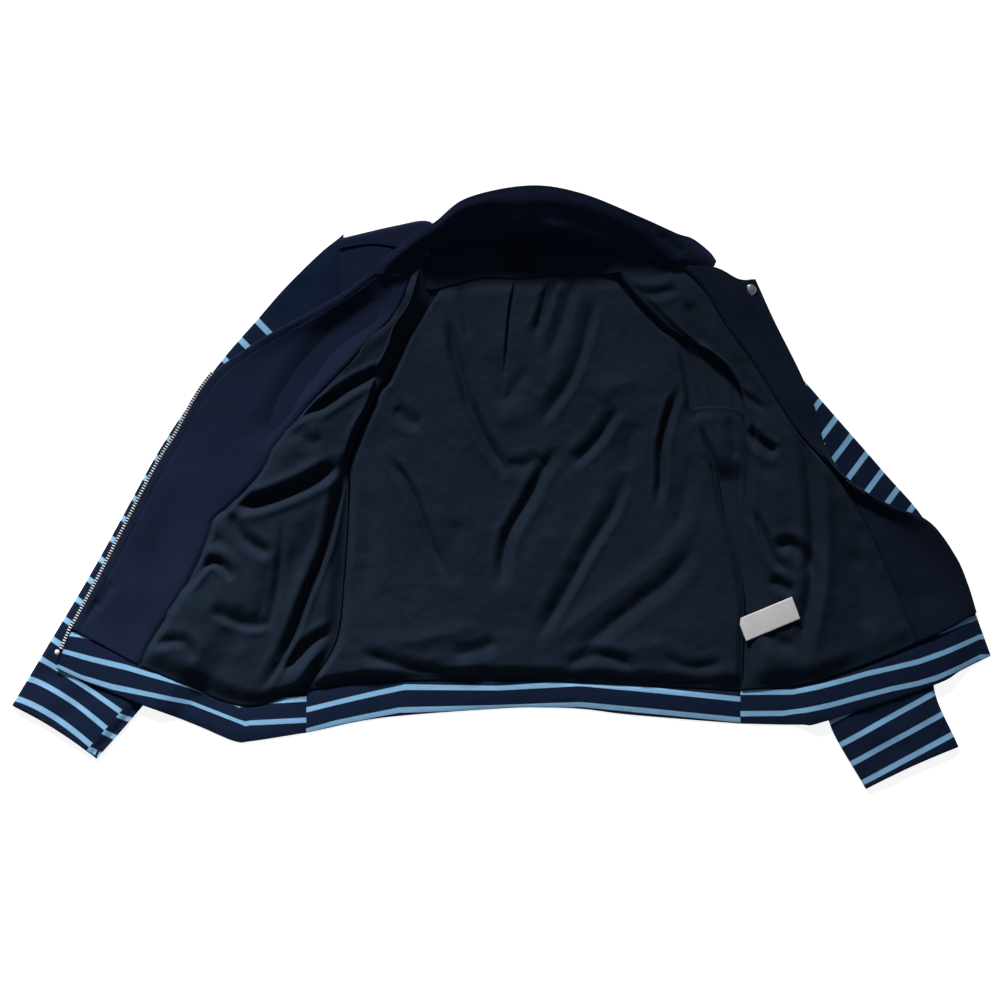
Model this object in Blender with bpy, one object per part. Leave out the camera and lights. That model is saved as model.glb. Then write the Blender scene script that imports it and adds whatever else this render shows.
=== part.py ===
"""Short zip-front jacket, laid on its back with both fronts opened out and the lining up.

Every cloth piece is a wall. Its outline is a patch between smooth edge curves, and its
height comes from what lies beneath it and from a table of folds. All sizes are in
millimetres until a mesh is made. X runs across the jacket, Y from hem to collar, Z up.
"""

import bmesh
import bpy
import numpy as np
from mathutils import Vector
from mathutils.bvhtree import BVHTree

MM = 0.001

# Cloth thicknesses, and the gap at every seam
SHELL = 1.2
LINING = 1.1
KNIT = 1.5
BAND = 2.6
TAPE = 0.9
GAP = 0.3

# Levels
OVER_SLEEVE = 6.6
SHOULDER_FLOOR = 5.0
ROLL_FLOOR = 9.6
VALLEY_FLOOR = 2.6
VALLEY_REACH = 11.0
BACK_PUFF = 3.4
FRONT_PUFF = 2.4
SUPPORT_MARGIN = 9.0
SUPPORT_FALL = 34.0

# Shoulder: radius of the turn, and the run to the forward seam on either side
TURN_RADIUS = 2.5
FORWARD_RIGHT = 3.0
SHOULDER_BOW = 9.0
SHOULDER_SEAM_GAP = 1.2
TAPE_WIDTH = 8.0
TAPE_SHOWING = 5.0
TAPE_GAP = 0.6
TAPE_RISE = 0.8
STACK_GAP = 0.5
PLY_GAP = 0.2
SIDE_GAP = 1.4
NECK_LINING_GAP = 2.0

# Rows and columns of the patches
ROWS = 16
ROLL_SHARE = 0.16
LINING_COLUMNS = 7
FACING_COLUMNS = 5
BACK_COLUMNS = 15
SHELL_COLUMNS = 13
NECK_COLUMNS = 15
COLLAR_COLUMNS = 15
COLLAR_ROWS = 7
LEFT_ZIP_ROWS = 10
RIGHT_ZIP_ROWS = 12
LABEL_PROBES = 9
LABEL_THICKNESS = 1.0
PROBE_HEIGHT = 200.0

# ---------------------------------------------------------------- edge curves (x, y)

# Back, on the surface: side seams, shoulders and neck
BACK_LEFT = [(-212, -221), (-178.5, -168), (-169, -98), (-163.5, -14), (-159, 30), (-166, 75),
             (-173, 130), (-175.4, 200), (-175.2, 266)]
BACK_RIGHT = [(262, -221), (266.5, -167), (268.5, -123), (260.5, -60), (254.5, 0), (259, 50),
              (262, 85), (262, 110), (252, 150), (236, 200), (214, 258)]
BACK_TOP = [(-175.2, 266), (-113, 280.5), (-78, 285), (-62, 266), (-33, 259.5), (21, 263.5),
            (76, 261), (118, 252), (142, 258), (214, 258)]
BACK_HEM = [(-212, -221), (-139, -212), (0, -210), (130, -215), (262, -221)]
BACK_BOTTOM = [(-212, -267), (-129, -250.5), (0, -240.5), (50, -239.5), (90, -241), (130, -246),
               (174, -250), (262, -257)]
NECK_SEAM = [(-84, 243.5), (-72, 250), (-36, 262.8), (21, 266.4), (76, 264.3), (130, 253), (150, 245)]
LINING_TOP = [(-74, 216), (-55, 221), (-20, 229), (20, 229), (62, 233), (93, 227), (121, 217)]
NECK_FACING_START = [(-99, 222)]
NECK_FACING_END = [(127, 232.5), (149, 238)]

# Left front (on the viewer's left): it rolls over between shoulder and underarm
LEFT_ROLL = [(-213, -221), (-180, -168), (-171, -98), (-166, -14), (-164, 45), (-146, 109),
             (-124, 147), (-97, 205), (-84, 248)]
LEFT_ARMHOLE = [(-221, -218), (-189, -166), (-179, -98), (-174, -14), (-171, 45), (-174, 110),
                (-175, 190), (-175.4, 258)]
LEFT_FACING_SEAM = [(-392, -195), (-381, -169), (-360, -136), (-339, -102), (-318, -56), (-312, -36),
                    (-289, -16), (-256, 20), (-243, 48), (-221, 74), (-204, 94), (-164, 134),
                    (-141, 161), (-120, 181), (-106, 204), (-92, 243)]
LEFT_EDGE = [(-468, -159), (-459, -143), (-440.5, -109), (-426, -81), (-374.5, 21.5), (-354, 57),
             (-334.5, 93), (-316, 117), (-298, 134), (-254, 163), (-215, 184), (-186, 200.5),
             (-166, 212.5), (-150, 224.5), (-139, 232)]
LEFT_HEM = [(-213, -221), (-285, -238), (-368, -205), (-468, -159)]
LEFT_GORGE = [(-84, 248), (-106, 230), (-139, 232)]
LEFT_BOTTOM = [(-213, -267), (-271, -276), (-290, -276), (-328, -260), (-371, -243), (-400, -232),
               (-483, -197)]
LEFT_TAPE_TAIL = [(-479, -182), (-470, -162.5)]

# Right front: it rolls over above the open armhole
RIGHT_ROLL = [(263, -221), (268, -167), (270, -123), (262, -60), (256, 0), (259, 60), (256, 112),
              (238, 143), (210, 165), (174, 194), (130, 229)]
RIGHT_ARMHOLE = [(272, -222), (277, -167), (279, -123), (272, -60), (266, 0), (268, 60),
                 (262, 115), (247, 158), (228, 200), (209, 248)]
RIGHT_SIDE_LINE = [(263, -221), (264, -167), (265, -123), (257, -80), (243, -29), (236, 8),
                   (227, 44), (224, 80), (227, 105), (221, 130), (197, 158), (162, 185),
                   (121, 217)]
RIGHT_FACING_SEAM = [(453, -178), (417, -85), (385, -19), (359, 19), (319, 65), (275, 134),
                     (247, 172), (225, 209), (197, 240)]
RIGHT_EDGE = [(517, -137), (507, -106), (493, -76), (463, -38), (420, -19), (377, 8), (352, 44),
              (340, 87), (324, 125), (297, 179), (276, 226)]
RIGHT_HEM = [(263, -221), (326, -223), (392, -202), (453, -178), (517, -137)]
RIGHT_GORGE = [(130, 229), (160, 237), (197, 241), (233, 239), (259, 226), (276, 226)]
RIGHT_BOTTOM = [(263, -257), (326, -258), (353, -254), (470, -215), (501, -199), (534, -183)]

# The open armhole on the right, between the two linings: its middle and half height, and
# how far it reaches to either side of the side line
ARMHOLE_MIDDLE_Y = 118
ARMHOLE_HALF = 36
ARMHOLE_REACH_BACK = 20
ARMHOLE_REACH_FRONT = 20
ARMHOLE_PATCH_BACK = [(224, 84), (211, 106), (208, 130), (203, 152)]
ARMHOLE_PATCH_FRONT = [(254.8, 84), (250.8, 112), (236.9, 139.3), (217.2, 153)]

# Sleeve sections, armhole to cuff: outer edge (x, y), underarm edge (x, y), height
LEFT_SLEEVE = [
    (-176, 271, -176, 40, 6.2),
    (-235, 216.5, -217, -14, 6.2),
    (-300, 142, -262, -72, 6.2),
    (-361, 57, -308, -132, 6.2),
    (-412, -33, -350, -190, 6.2),
    (-463.5, -124, -385, -233, 6.2),
    (-502, -188, -415, -268, 5.6),
    (-532, -238, -440, -296, 5.0),
]
RIGHT_SLEEVE = [
    (215, 261, 288, 62, 6.2),
    (262, 198, 288, 8, 6.2),
    (310, 140, 296, -36, 6.2),
    (362, 80, 314, -78, 6.2),
    (417, 17, 336, -112, 6.2),
    (463, -38, 350, -146, 6.2),
    (485, -98, 355, -182, 6.2),
    (484, -160, 355, -222, 6.2),
    (472, -217, 360, -262, 5.6),
    (499, -283, 398, -329, 5.0),
]

# Collar sections, left gorge to right gorge: neck seam, wall, crest and outer edge (x, y, z)
COLLAR = [
    ((-105, 232, 11.2), (-114, 232.6, 13), (-128, 233, 16.5), (-138, 234, 15.5)),
    ((-95, 242, 11.2), (-103, 245, 15), (-115, 247, 20), (-124, 248, 19.5)),
    ((-84, 252, 11.4), (-87, 258, 17), (-91, 265, 24), (-97, 271, 24)),
    ((-64, 259, 7), (-65, 269, 20), (-67, 278, 30), (-70, 286, 31)),
    ((-36, 265, 2.6), (-36, 280, 24), (-36, 298, 38), (-35, 311, 41)),
    ((21, 268, 2.2), (24, 283, 27), (28, 304, 42), (31, 323, 45.5)),
    ((76, 266, 2.4), (79, 280, 25), (83, 298, 38.5), (87, 315, 42.5)),
    ((130, 257, 7), (136, 265, 19), (143, 278, 29), (150, 291, 32)),
    ((162, 247, 11.4), (168, 254, 18), (178, 264, 23), (190, 274, 22.5)),
    ((186, 242.5, 11.6), (193, 249, 16.5), (200, 259, 18.5), (208, 269, 16.5)),
    ((213, 241.4, 12.9), (218, 247, 14.6), (222, 251, 15), (226, 256, 13.8)),
    ((230, 240.4, 12.9), (231.5, 243, 13.4), (232.7, 245.2, 13.4), (234, 247, 13)),
]

# Folds: start, middle and end of the crease line (x, y), half width, height (- is a trough)
BACK_FOLDS = [
    ((17, 232), (7, 175), (4, 118), 9, -2.4),
    ((-59, 219), (-44, 100), (9, 28), 15, -3.6),
    ((9, 28), (30, 24), (60, 42), 15, -2.6),
    ((62, 231), (48, 190), (34, 162), 12, -2.6),
    ((103, 216), (92, 130), (53, 69), 13, -3.2),
    ((131, 109), (114, 56), (75, 15), 13, -3.0),
    ((52, 34), (14, -20), (2, -98), 14, -3.4),
    ((139, 20), (118, -60), (44, -165), 14, -3.6),
    ((208, -33), (150, -125), (69, -196), 17, 4.5),
    ((-123, 33), (-84, -30), (-62, -101), 11, -2.2),
    ((203, 109), (176, 70), (170, -22), 12, -3.2),
    ((-150, -190), (-60, -178), (20, -188), 15, 3.6),
    ((60, -190), (150, -182), (235, -192), 15, 3.0),
]
LEFT_FRONT_FOLDS = [
    ((-290, -19), (-225, -8), (-167, 37), 13, -3.0),
    ((-341, -106), (-315, -76), (-288, -104), 11, -2.4),
    ((-166, 22), (-190, -80), (-271, -231), 13, -3.0),
    ((-96, 196), (-140, 132), (-198, 90), 12, -3.0),
    ((-300, 30), (-250, 10), (-190, 70), 20, 3.4),
    ((-330, -60), (-280, -60), (-230, -40), 18, 3.0),
    ((-300, -120), (-270, -120), (-240, -130), 18, 2.6),
]
RIGHT_FRONT_FOLDS = [
    ((326, 51), (350, -40), (330, -196), 14, -2.8),
    ((268, 60), (262, 0), (265, -47), 12, -2.6),
    ((271, -22), (290, -70), (312, -106), 12, -2.6),
    ((295, 100), (318, 0), (300, -150), 18, 3.0),
]

# Hard and woven trims
SNAP_CENTRE = (273, 214)
SNAP_PROFILE = [(0, 0), (5.2, 0), (6.2, 0.5), (6.2, 1.3), (5.4, 2.0), (3.0, 2.3), (0, 2.3)]
PIN_CENTRE = (-481.5, -179.5)
PIN_PROFILE = [(0, 0), (2.2, 0), (2.7, 0.6), (2.7, 2.6), (1.6, 3.4), (0, 3.6)]
SLIDER_START = (511, -132)
SLIDER_DIRECTION = (-0.28, 0.96)
SLIDER_LIFT = 0.9
SLIDER_LIFT_REACH = 24.0
# Along the slider and its pull: distance, half width, height
SLIDER = [
    (0.0, 3.2, 2.2),
    (1.5, 4.2, 3.0),
    (9.0, 4.2, 3.0),
    (10.5, 1.5, 1.4),
    (13.5, 1.5, 1.4),
    (14.5, 2.7, 1.4),
    (31.0, 3.2, 1.4),
    (33.0, 2.4, 1.4),
]
CARE_LABEL = ((267, -168), (58, 25), (-9, 24))
NECK_LABEL = ((5, 239), (28, 0), (0, 21))
SIZE_TAB = ((11.2, 226.4), (13.4, 0), (0, 12))


# ---------------------------------------------------------------- plane geometry


def smooth(t):
    t = np.clip(t, 0.0, 1.0)
    return t * t * (3.0 - 2.0 * t)


def even(points, count):
    """Resample a line of points at even steps along it."""
    steps = np.linalg.norm(np.diff(points, axis=0), axis=1)
    along = np.concatenate([[0.0], np.cumsum(steps)])
    at = np.linspace(0.0, along[-1], count)
    return np.stack([np.interp(at, along, points[:, k]) for k in range(points.shape[1])], axis=1)


def curve(points, count):
    """Even points on the smooth curve through the given ones (Catmull-Rom)."""
    p = np.array(points, dtype=float)
    p = np.vstack([2 * p[0] - p[1], p, 2 * p[-1] - p[-2]])
    t = np.linspace(0.0, 1.0, 16, endpoint=False)[:, None]
    spans = []
    for a, b, c, d in zip(p, p[1:], p[2:], p[3:]):
        spans.append(0.5 * (2 * b + (c - a) * t + (2 * a - 5 * b + 4 * c - d) * t**2
                            + (3 * b - a - 3 * c + d) * t**3))
    spans.append(p[-2][None, :])
    return even(np.vstack(spans), count)


def patch(left, right, bottom, top):
    """Coons patch: rows run from bottom to top, columns from left to right."""
    v = np.linspace(0.0, 1.0, len(left))[:, None, None]
    u = np.linspace(0.0, 1.0, len(bottom))[None, :, None]
    across = (1 - u) * left[:, None] + u * right[:, None]
    upward = (1 - v) * bottom[None] + v * top[None]
    corners = ((1 - u) * (1 - v) * bottom[0] + u * (1 - v) * bottom[-1]
               + (1 - u) * v * top[0] + u * v * top[-1])
    return across + upward - corners


def distance_outside(grid, outline):
    """Distance from each point to a closed outline, 0 inside it."""
    x, y = grid[..., 0], grid[..., 1]
    nearest = np.full(x.shape, 1e9)
    inside = np.zeros(x.shape, dtype=bool)
    for (ax, ay), (bx, by) in zip(outline, np.roll(outline, -1, axis=0)):
        t = np.clip(((x - ax) * (bx - ax) + (y - ay) * (by - ay))
                    / ((bx - ax) ** 2 + (by - ay) ** 2 + 1e-9), 0, 1)
        nearest = np.minimum(nearest, np.hypot(x - ax - t * (bx - ax), y - ay - t * (by - ay)))
        crosses = (ay > y) != (by > y)
        inside ^= crosses & (x < (bx - ax) * (y - ay) / (by - ay + 1e-9) + ax)
    return np.where(inside, 0.0, nearest)


def fold_relief(grid, folds):
    """Sum of the soft troughs and ridges, each fading out at its two ends."""
    x, y = grid[..., 0], grid[..., 1]
    total = np.zeros(x.shape)
    for start, middle, end, width, height in folds:
        line = curve([start, middle, end], 12)
        nearest = np.full(x.shape, 1e9)
        strength = np.zeros(x.shape)
        for k, (px, py) in enumerate(line):
            distance = np.hypot(x - px, y - py)
            closer = distance < nearest
            fade = np.sin(np.pi * (k + 1.5) / (len(line) + 2)) ** 0.5
            strength = np.where(closer, fade, strength)
            nearest = np.minimum(nearest, distance)
        total += height * strength * np.exp(-((nearest / width) ** 2))
    return total


def support(grid, outline):
    """Level that a panel keeps over what the outline covers, easing down to the surface."""
    away = distance_outside(grid, outline) - SUPPORT_MARGIN
    return OVER_SLEEVE * smooth(1.0 - away / SUPPORT_FALL)


def with_height(grid, height):
    return np.concatenate([grid, np.broadcast_to(height, grid.shape[:2])[..., None]], axis=2)


# ---------------------------------------------------------------- meshes


def make_material(name, colour, roughness, metallic=0.0):
    material = bpy.data.materials.new(name)
    material.use_nodes = True
    shader = material.node_tree.nodes["Principled BSDF"]
    shader.inputs["Base Color"].default_value = (*colour, 1.0)
    shader.inputs["Roughness"].default_value = roughness
    shader.inputs["Metallic"].default_value = metallic
    return material


def finish_object(name, mesh_builder, material):
    bmesh.ops.triangulate(mesh_builder, faces=mesh_builder.faces[:], quad_method="SHORT_EDGE")
    bmesh.ops.recalc_face_normals(mesh_builder, faces=mesh_builder.faces[:])
    mesh = bpy.data.meshes.new(name)
    mesh_builder.to_mesh(mesh)
    mesh_builder.free()
    mesh.materials.append(material)
    mesh.shade_smooth()
    mesh.set_sharp_from_angle(angle=0.9)
    obj = bpy.data.objects.new(name, mesh)
    bpy.context.scene.collection.objects.link(obj)
    return obj


def sheet_faces(mesh_builder, grid):
    """Add the quads of a grid of points, given in millimetres."""
    rows = [[mesh_builder.verts.new(Vector(p) * MM) for p in row] for row in grid]
    for low, high in zip(rows, rows[1:]):
        for k in range(len(low) - 1):
            mesh_builder.faces.new((low[k], low[k + 1], high[k + 1], high[k]))
    return rows


def join_rims(mesh_builder, top, bottom):
    """Close the wall between two grids of vertices along all four sides."""
    def rim(rows):
        loop = list(rows[0]) + [row[-1] for row in rows[1:]]
        return loop + list(rows[-1][-2::-1]) + [row[0] for row in rows[-2:0:-1]]

    upper, lower = rim(top), rim(bottom)
    for k in range(len(upper)):
        n = (k + 1) % len(upper)
        mesh_builder.faces.new((upper[k], upper[n], lower[n], lower[k]))


def wall(name, floor, thickness, material):
    """A cloth wall standing on its floor grid, its thickness measured straight up."""
    mesh_builder = bmesh.new()
    bottom = sheet_faces(mesh_builder, floor)
    top = sheet_faces(mesh_builder, floor + np.array([0.0, 0.0, thickness]))
    join_rims(mesh_builder, top, bottom)
    return finish_object(name, mesh_builder, material)


def normals(grid):
    """Unit normals of a grid, pointing up where rows run up and columns run right."""
    along_u = np.gradient(grid, axis=1)
    along_v = np.gradient(grid, axis=0)
    n = np.cross(along_u, along_v)
    return n / np.linalg.norm(n, axis=2, keepdims=True)


def wall_between(name, middle, aim, inner, outer, material):
    """A cloth wall between two offsets of one middle surface along its aims."""
    mesh_builder = bmesh.new()
    low = sheet_faces(mesh_builder, middle + inner * aim)
    high = sheet_faces(mesh_builder, middle + outer * aim)
    join_rims(mesh_builder, high, low)
    return finish_object(name, mesh_builder, material)


# ---------------------------------------------------------------- sleeves

# Around a flattened tube: place across (-1 outer edge, 1 underarm edge)
ACROSS = np.array([-1.0, -0.97, -0.86, -0.6, -0.2, 0.2, 0.6, 0.86, 0.97, 1.0])


def sleeve_ring(outer, inner, height, inset):
    """One ring of the tube wall, moved in by inset; flat below, softly crowned above."""
    centre, half = (outer + inner) / 2, (inner - outer) / 2
    length = np.linalg.norm(half)
    half = half * (length - inset) / length
    crown = 0.5 + 0.5 * np.sqrt(1.0 - np.abs(ACROSS) ** 7)
    top = [(*(centre + a * half), height * c - inset) for a, c in zip(ACROSS, crown)]
    middle_level = height / 2
    top[0] = (*top[0][:2], middle_level)
    top[-1] = (*top[-1][:2], middle_level)
    bottom = [(*(centre + a * half), inset) for a in ACROSS[-2:0:-1]]
    return np.array(top + bottom)


def sleeve_outline(table):
    """The sleeve's edge as one closed loop."""
    rows = np.array(table)
    outer, inner = curve(rows[:, 0:2], 40), curve(rows[:, 2:4], 40)
    return np.vstack([outer, inner[::-1]])


def sleeve(name, table, rings, material):
    rows = np.array(table, dtype=float)
    outer, inner = curve(rows[:, 0:2], rings), curve(rows[:, 2:4], rings)
    height = np.interp(np.linspace(0, 1, rings), np.linspace(0, 1, len(rows)), rows[:, 4])
    mesh_builder = bmesh.new()
    skins = []
    for inset in (0.0, KNIT):
        loops = []
        for a, b, h in zip(outer, inner, height):
            ring = sleeve_ring(a, b, h, inset)
            loops.append([mesh_builder.verts.new(Vector(p) * MM) for p in ring])
        for near, far in zip(loops, loops[1:]):
            for k in range(len(near)):
                n = (k + 1) % len(near)
                mesh_builder.faces.new((near[k], near[n], far[n], far[k]))
        skins.append(loops)
    for end in (0, -1):
        outside, inside = skins[0][end], skins[1][end]
        for k in range(len(outside)):
            n = (k + 1) % len(outside)
            mesh_builder.faces.new((outside[k], outside[n], inside[n], inside[k]))
    return finish_object(name, mesh_builder, material)


# ---------------------------------------------------------------- fronts


def nearest_index(line, point):
    return int(np.argmin(np.linalg.norm(line - point, axis=1)))


def front_plan(side):
    """Plan of a front panel, from the roll through the facing seam to the free edge."""
    roll = curve(side["roll"], ROWS)
    seam = curve(side["facing_seam"], ROWS)
    edge = curve(side["edge"], ROWS)
    hem, gorge = curve(side["hem"], 80), curve(side["gorge"], 80)
    hem_split, gorge_split = nearest_index(hem, seam[0]), nearest_index(gorge, seam[-1])
    seam[0], seam[-1] = hem[hem_split], gorge[gorge_split]
    lining = patch(roll, seam, even(hem[:hem_split + 1], LINING_COLUMNS),
                   even(gorge[:gorge_split + 1], LINING_COLUMNS))
    facing = patch(seam, edge, even(hem[hem_split:], FACING_COLUMNS),
                   even(gorge[gorge_split:], FACING_COLUMNS))
    return np.concatenate([lining, facing[:, 1:]], axis=1)


def upper_share():
    """0 on rows below the underarm, where the front lies flat, and 1 where it rolls over."""
    return smooth((np.linspace(0, 1, ROWS) - 0.42) / 0.2)


def front_floor(side, plan):
    """Underside of the front shell where it lies open."""
    level = np.maximum(support(plan, sleeve_outline(side["sleeve"])),
                       support(plan, np.array(side["shoulder"])))
    u = np.linspace(0, 1, plan.shape[1])[None, :]
    upper = upper_share()[:, None]
    roll_level = (1 - upper) * (SHELL + GAP) + upper * ROLL_FLOOR
    near_roll = smooth(1.0 - u / ROLL_SHARE)
    level = level * (1 - near_roll) + roll_level * near_roll
    to_slider = np.linalg.norm(plan - np.array(SLIDER_START), axis=2)
    slider_lift = SLIDER_LIFT * np.exp(-((to_slider / SLIDER_LIFT_REACH) ** 2))
    return level + side["edge_lift"] * smooth(u * 1.2 - 0.2) + slider_lift


def front_shell(name, side, plan, floor, material):
    """One cloth: out from the armhole, round the roll, and back over with its outside down."""
    armhole = curve(side["armhole"], ROWS)
    upper = upper_share()
    shoulder = smooth((np.linspace(0, 1, ROWS) - 0.8) / 0.2)
    low_level = (1 - upper) * SHELL / 2 + upper * (SHOULDER_FLOOR + SHELL / 2)
    half = SHELL / 2
    down, up = np.array([0, 0, -1.0]), np.array([0, 0, 1.0])
    middle, direction = [], []
    for k in range(ROWS):
        high = floor[k, 0] + half
        low = low_level[k]
        radius = (high - low) / 2
        outward = plan[k, 0] - plan[k, 1]
        outward = outward / np.linalg.norm(outward)
        centre = plan[k, 0] - radius * outward
        start, end = np.array([*centre, low]), np.array([*armhole[k], low])
        points = [end + (start - end) * t for t in (0.0, 0.35, 0.7, 1.0)]
        for point, t in zip(points, (0.0, 0.35, 0.7, 1.0)):
            point[1] += side["shoulder_bow"] * shoulder[k] * np.sin(np.pi * t)
        aims = [down] * 4
        for angle in np.radians([-55, 0, 55]):
            aim = np.array([*(np.cos(angle) * outward), np.sin(angle)])
            points.append(np.array([*centre, (high + low) / 2]) + radius * aim)
            aims.append(aim)
        points += [np.array([*p, z + half]) for p, z in zip(plan[k, 1:], floor[k, 1:])]
        aims += [up] * (plan.shape[1] - 1)
        middle.append(points)
        direction.append(aims)
    return wall_between(name, np.array(middle), np.array(direction), -half, half, material)


def front_lining(name, side, plan, floor, valley, material):
    """Lining of a front: down from the roll to the valley beside the back lining."""
    split = LINING_COLUMNS - 1
    base = with_height(plan, floor + SHELL + GAP)[:, :split + 1]
    base = shift_end_column(base, -1, GAP / 2)
    u = np.linspace(0, 1, split + 1)[None, :]
    v = np.linspace(0, 1, ROWS)[:, None]
    free = smooth(u * 5) * smooth((1 - u) * 5) * smooth(v * 9) * smooth((1 - v) * 9)
    relief = FRONT_PUFF + fold_relief(base[..., :2], side["folds"])
    base[..., 2] += np.maximum(relief * free, 0.0)
    low = with_height(valley[:, None], np.full((ROWS, 1), VALLEY_FLOOR))
    grid = np.concatenate([low, base], axis=1)[:side["lining_rows"]]
    return wall(name, grid, LINING, material)


def shift_end_column(grid, column, amount):
    """Move one end column along its rows, to leave the seam gap."""
    towards = 1 if column == 0 else -2
    step = grid[:, towards] - grid[:, column]
    step = step / np.linalg.norm(step, axis=1, keepdims=True)
    moved = grid.copy()
    moved[:, column] += amount * step
    return moved


def row_outward(plan):
    """Unit direction from each row towards and past the roll."""
    step = plan[:, 0] - plan[:, 1]
    return step / np.linalg.norm(step, axis=1, keepdims=True)


# ---------------------------------------------------------------- back, collar, bands


def back_shell(name, material):
    """The back, flat on the surface; at the shoulders it turns over to the forward seam."""
    top = curve(BACK_TOP, SHELL_COLUMNS)
    plan = patch(curve(BACK_LEFT, ROWS), curve(BACK_RIGHT, ROWS),
                 curve(BACK_HEM, SHELL_COLUMNS), top)
    half = SHELL / 2
    x = top[:, 0]
    share = np.maximum(smooth((-64 - x) / 12), smooth((x - 122) / 16))
    (seam_x, seam_low), (end_x, seam_high) = LEFT_ARMHOLE[-1], LEFT_ROLL[-1]
    t = np.clip((x - seam_x) / (end_x - seam_x), 0, 1)
    seam_y = seam_low + t * (seam_high - seam_low) + SHOULDER_BOW * np.sin(np.pi * t)
    forward = np.where(x < 0, top[:, 1] - seam_y - SHOULDER_SEAM_GAP, FORWARD_RIGHT)
    middle = [with_height(row[None], np.full((1, SHELL_COLUMNS), half))[0] for row in plan]
    aims = [np.tile([0, 0, -1.0], (SHELL_COLUMNS, 1)) for _ in plan]
    turn = np.radians(15 + 165 * share)
    for t in (0.33, 0.67, 1.0):
        a = turn * t
        middle.append(np.stack([x, top[:, 1] + TURN_RADIUS * np.sin(a),
                                half + TURN_RADIUS * (1 - np.cos(a))], axis=1))
        aims.append(np.stack([0 * a, np.sin(a), -np.cos(a)], axis=1))
    run = 0.8 + share * (forward - 0.8)
    for t in (0.5, 1.0):
        step = np.stack([0 * x, np.cos(turn), np.sin(turn)], axis=1)
        middle.append(middle[-1] + 0.5 * run[:, None] * step)
        aims.append(aims[-1])
    return wall_between(name, np.array(middle), np.array(aims), -half, half, material)


def collar_surface():
    """Middle surface of the collar: rows from the neck seam over the crest to the edge."""
    lines = [curve([section[k] for section in COLLAR], COLLAR_COLUMNS) for k in range(4)]
    columns = [curve(points, COLLAR_ROWS) for points in zip(*lines)]
    return np.array(columns).transpose(1, 0, 2)


def offset_line(line, amount):
    """A plan line moved sideways, to the left of its direction."""
    along = np.gradient(line, axis=0)
    along /= np.linalg.norm(along, axis=1, keepdims=True)
    return line + amount * np.stack([-along[:, 1], along[:, 0]], axis=1)


# ---------------------------------------------------------------- small pieces


def levels_on(points, carriers):
    """Height of the highest of some built pieces under each plan point."""
    depsgraph = bpy.context.evaluated_depsgraph_get()
    levels = np.zeros(len(points))
    for carrier in carriers:
        tree = BVHTree.FromObject(bpy.data.objects[carrier], depsgraph)
        for k, (x, y) in enumerate(points):
            hit = tree.ray_cast(Vector((x, y, PROBE_HEIGHT)) * MM, Vector((0, 0, -1)))[0]
            if hit:
                levels[k] = max(levels[k], hit.z / MM)
    return levels


def label(name, sizes, carriers, material):
    """A flat label on cloth, on the plane just clear of the cloth's highest spots."""
    corner, along, across = sizes
    u = np.linspace(0, 1, LABEL_PROBES)[None, :, None]
    v = np.linspace(0, 1, LABEL_PROBES)[:, None, None]
    plan = np.array(corner) + u * np.array(along) + v * np.array(across)
    points = plan.reshape(-1, 2)
    levels = levels_on(points, carriers)
    matrix = np.c_[points, np.ones(len(points))]
    plane = np.linalg.lstsq(matrix, levels, rcond=None)[0]
    clear = matrix @ plane + np.max(levels - matrix @ plane) + GAP
    floor = with_height(plan, clear.reshape(plan.shape[:2]))
    corners = floor[:: LABEL_PROBES - 1, :: LABEL_PROBES - 1]
    wall(name, corners, LABEL_THICKNESS, material)


def turned_disc(name, centre, profile, material, segments=24):
    """A round hard piece spun from its (radius, height) profile."""
    mesh_builder = bmesh.new()
    points = [mesh_builder.verts.new(Vector((r, 0, z)) * MM) for r, z in profile]
    edges = [mesh_builder.edges.new(pair) for pair in zip(points, points[1:])]
    bmesh.ops.spin(mesh_builder, geom=points + edges, cent=(0, 0, 0), axis=(0, 0, 1),
                   angle=2 * np.pi, steps=segments, use_merge=True)
    bmesh.ops.remove_doubles(mesh_builder, verts=mesh_builder.verts[:], dist=0.00002)
    bmesh.ops.translate(mesh_builder, verts=mesh_builder.verts[:], vec=Vector(centre) * MM)
    return finish_object(name, mesh_builder, material)


def zip_slider(name, material):
    """Slider and pull as one lofted piece, lying on the surface under the right front's edge."""
    along = Vector((*SLIDER_DIRECTION, 0)).normalized()
    across = Vector((along.y, -along.x, 0))
    start = Vector((*SLIDER_START, 0))
    mesh_builder = bmesh.new()
    rings = []
    for distance, half_width, height in SLIDER:
        centre = start + distance * along
        corners = [centre - half_width * across, centre + half_width * across]
        high = [corner + Vector((0, 0, height)) for corner in reversed(corners)]
        rings.append([mesh_builder.verts.new(corner * MM) for corner in corners + high])
    for near, far in zip(rings, rings[1:]):
        for k in range(4):
            n = (k + 1) % 4
            mesh_builder.faces.new((near[k], near[n], far[n], far[k]))
    mesh_builder.faces.new(rings[0])
    mesh_builder.faces.new(rings[-1][::-1])
    return finish_object(name, mesh_builder, material)


# ---------------------------------------------------------------- the jacket


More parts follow.
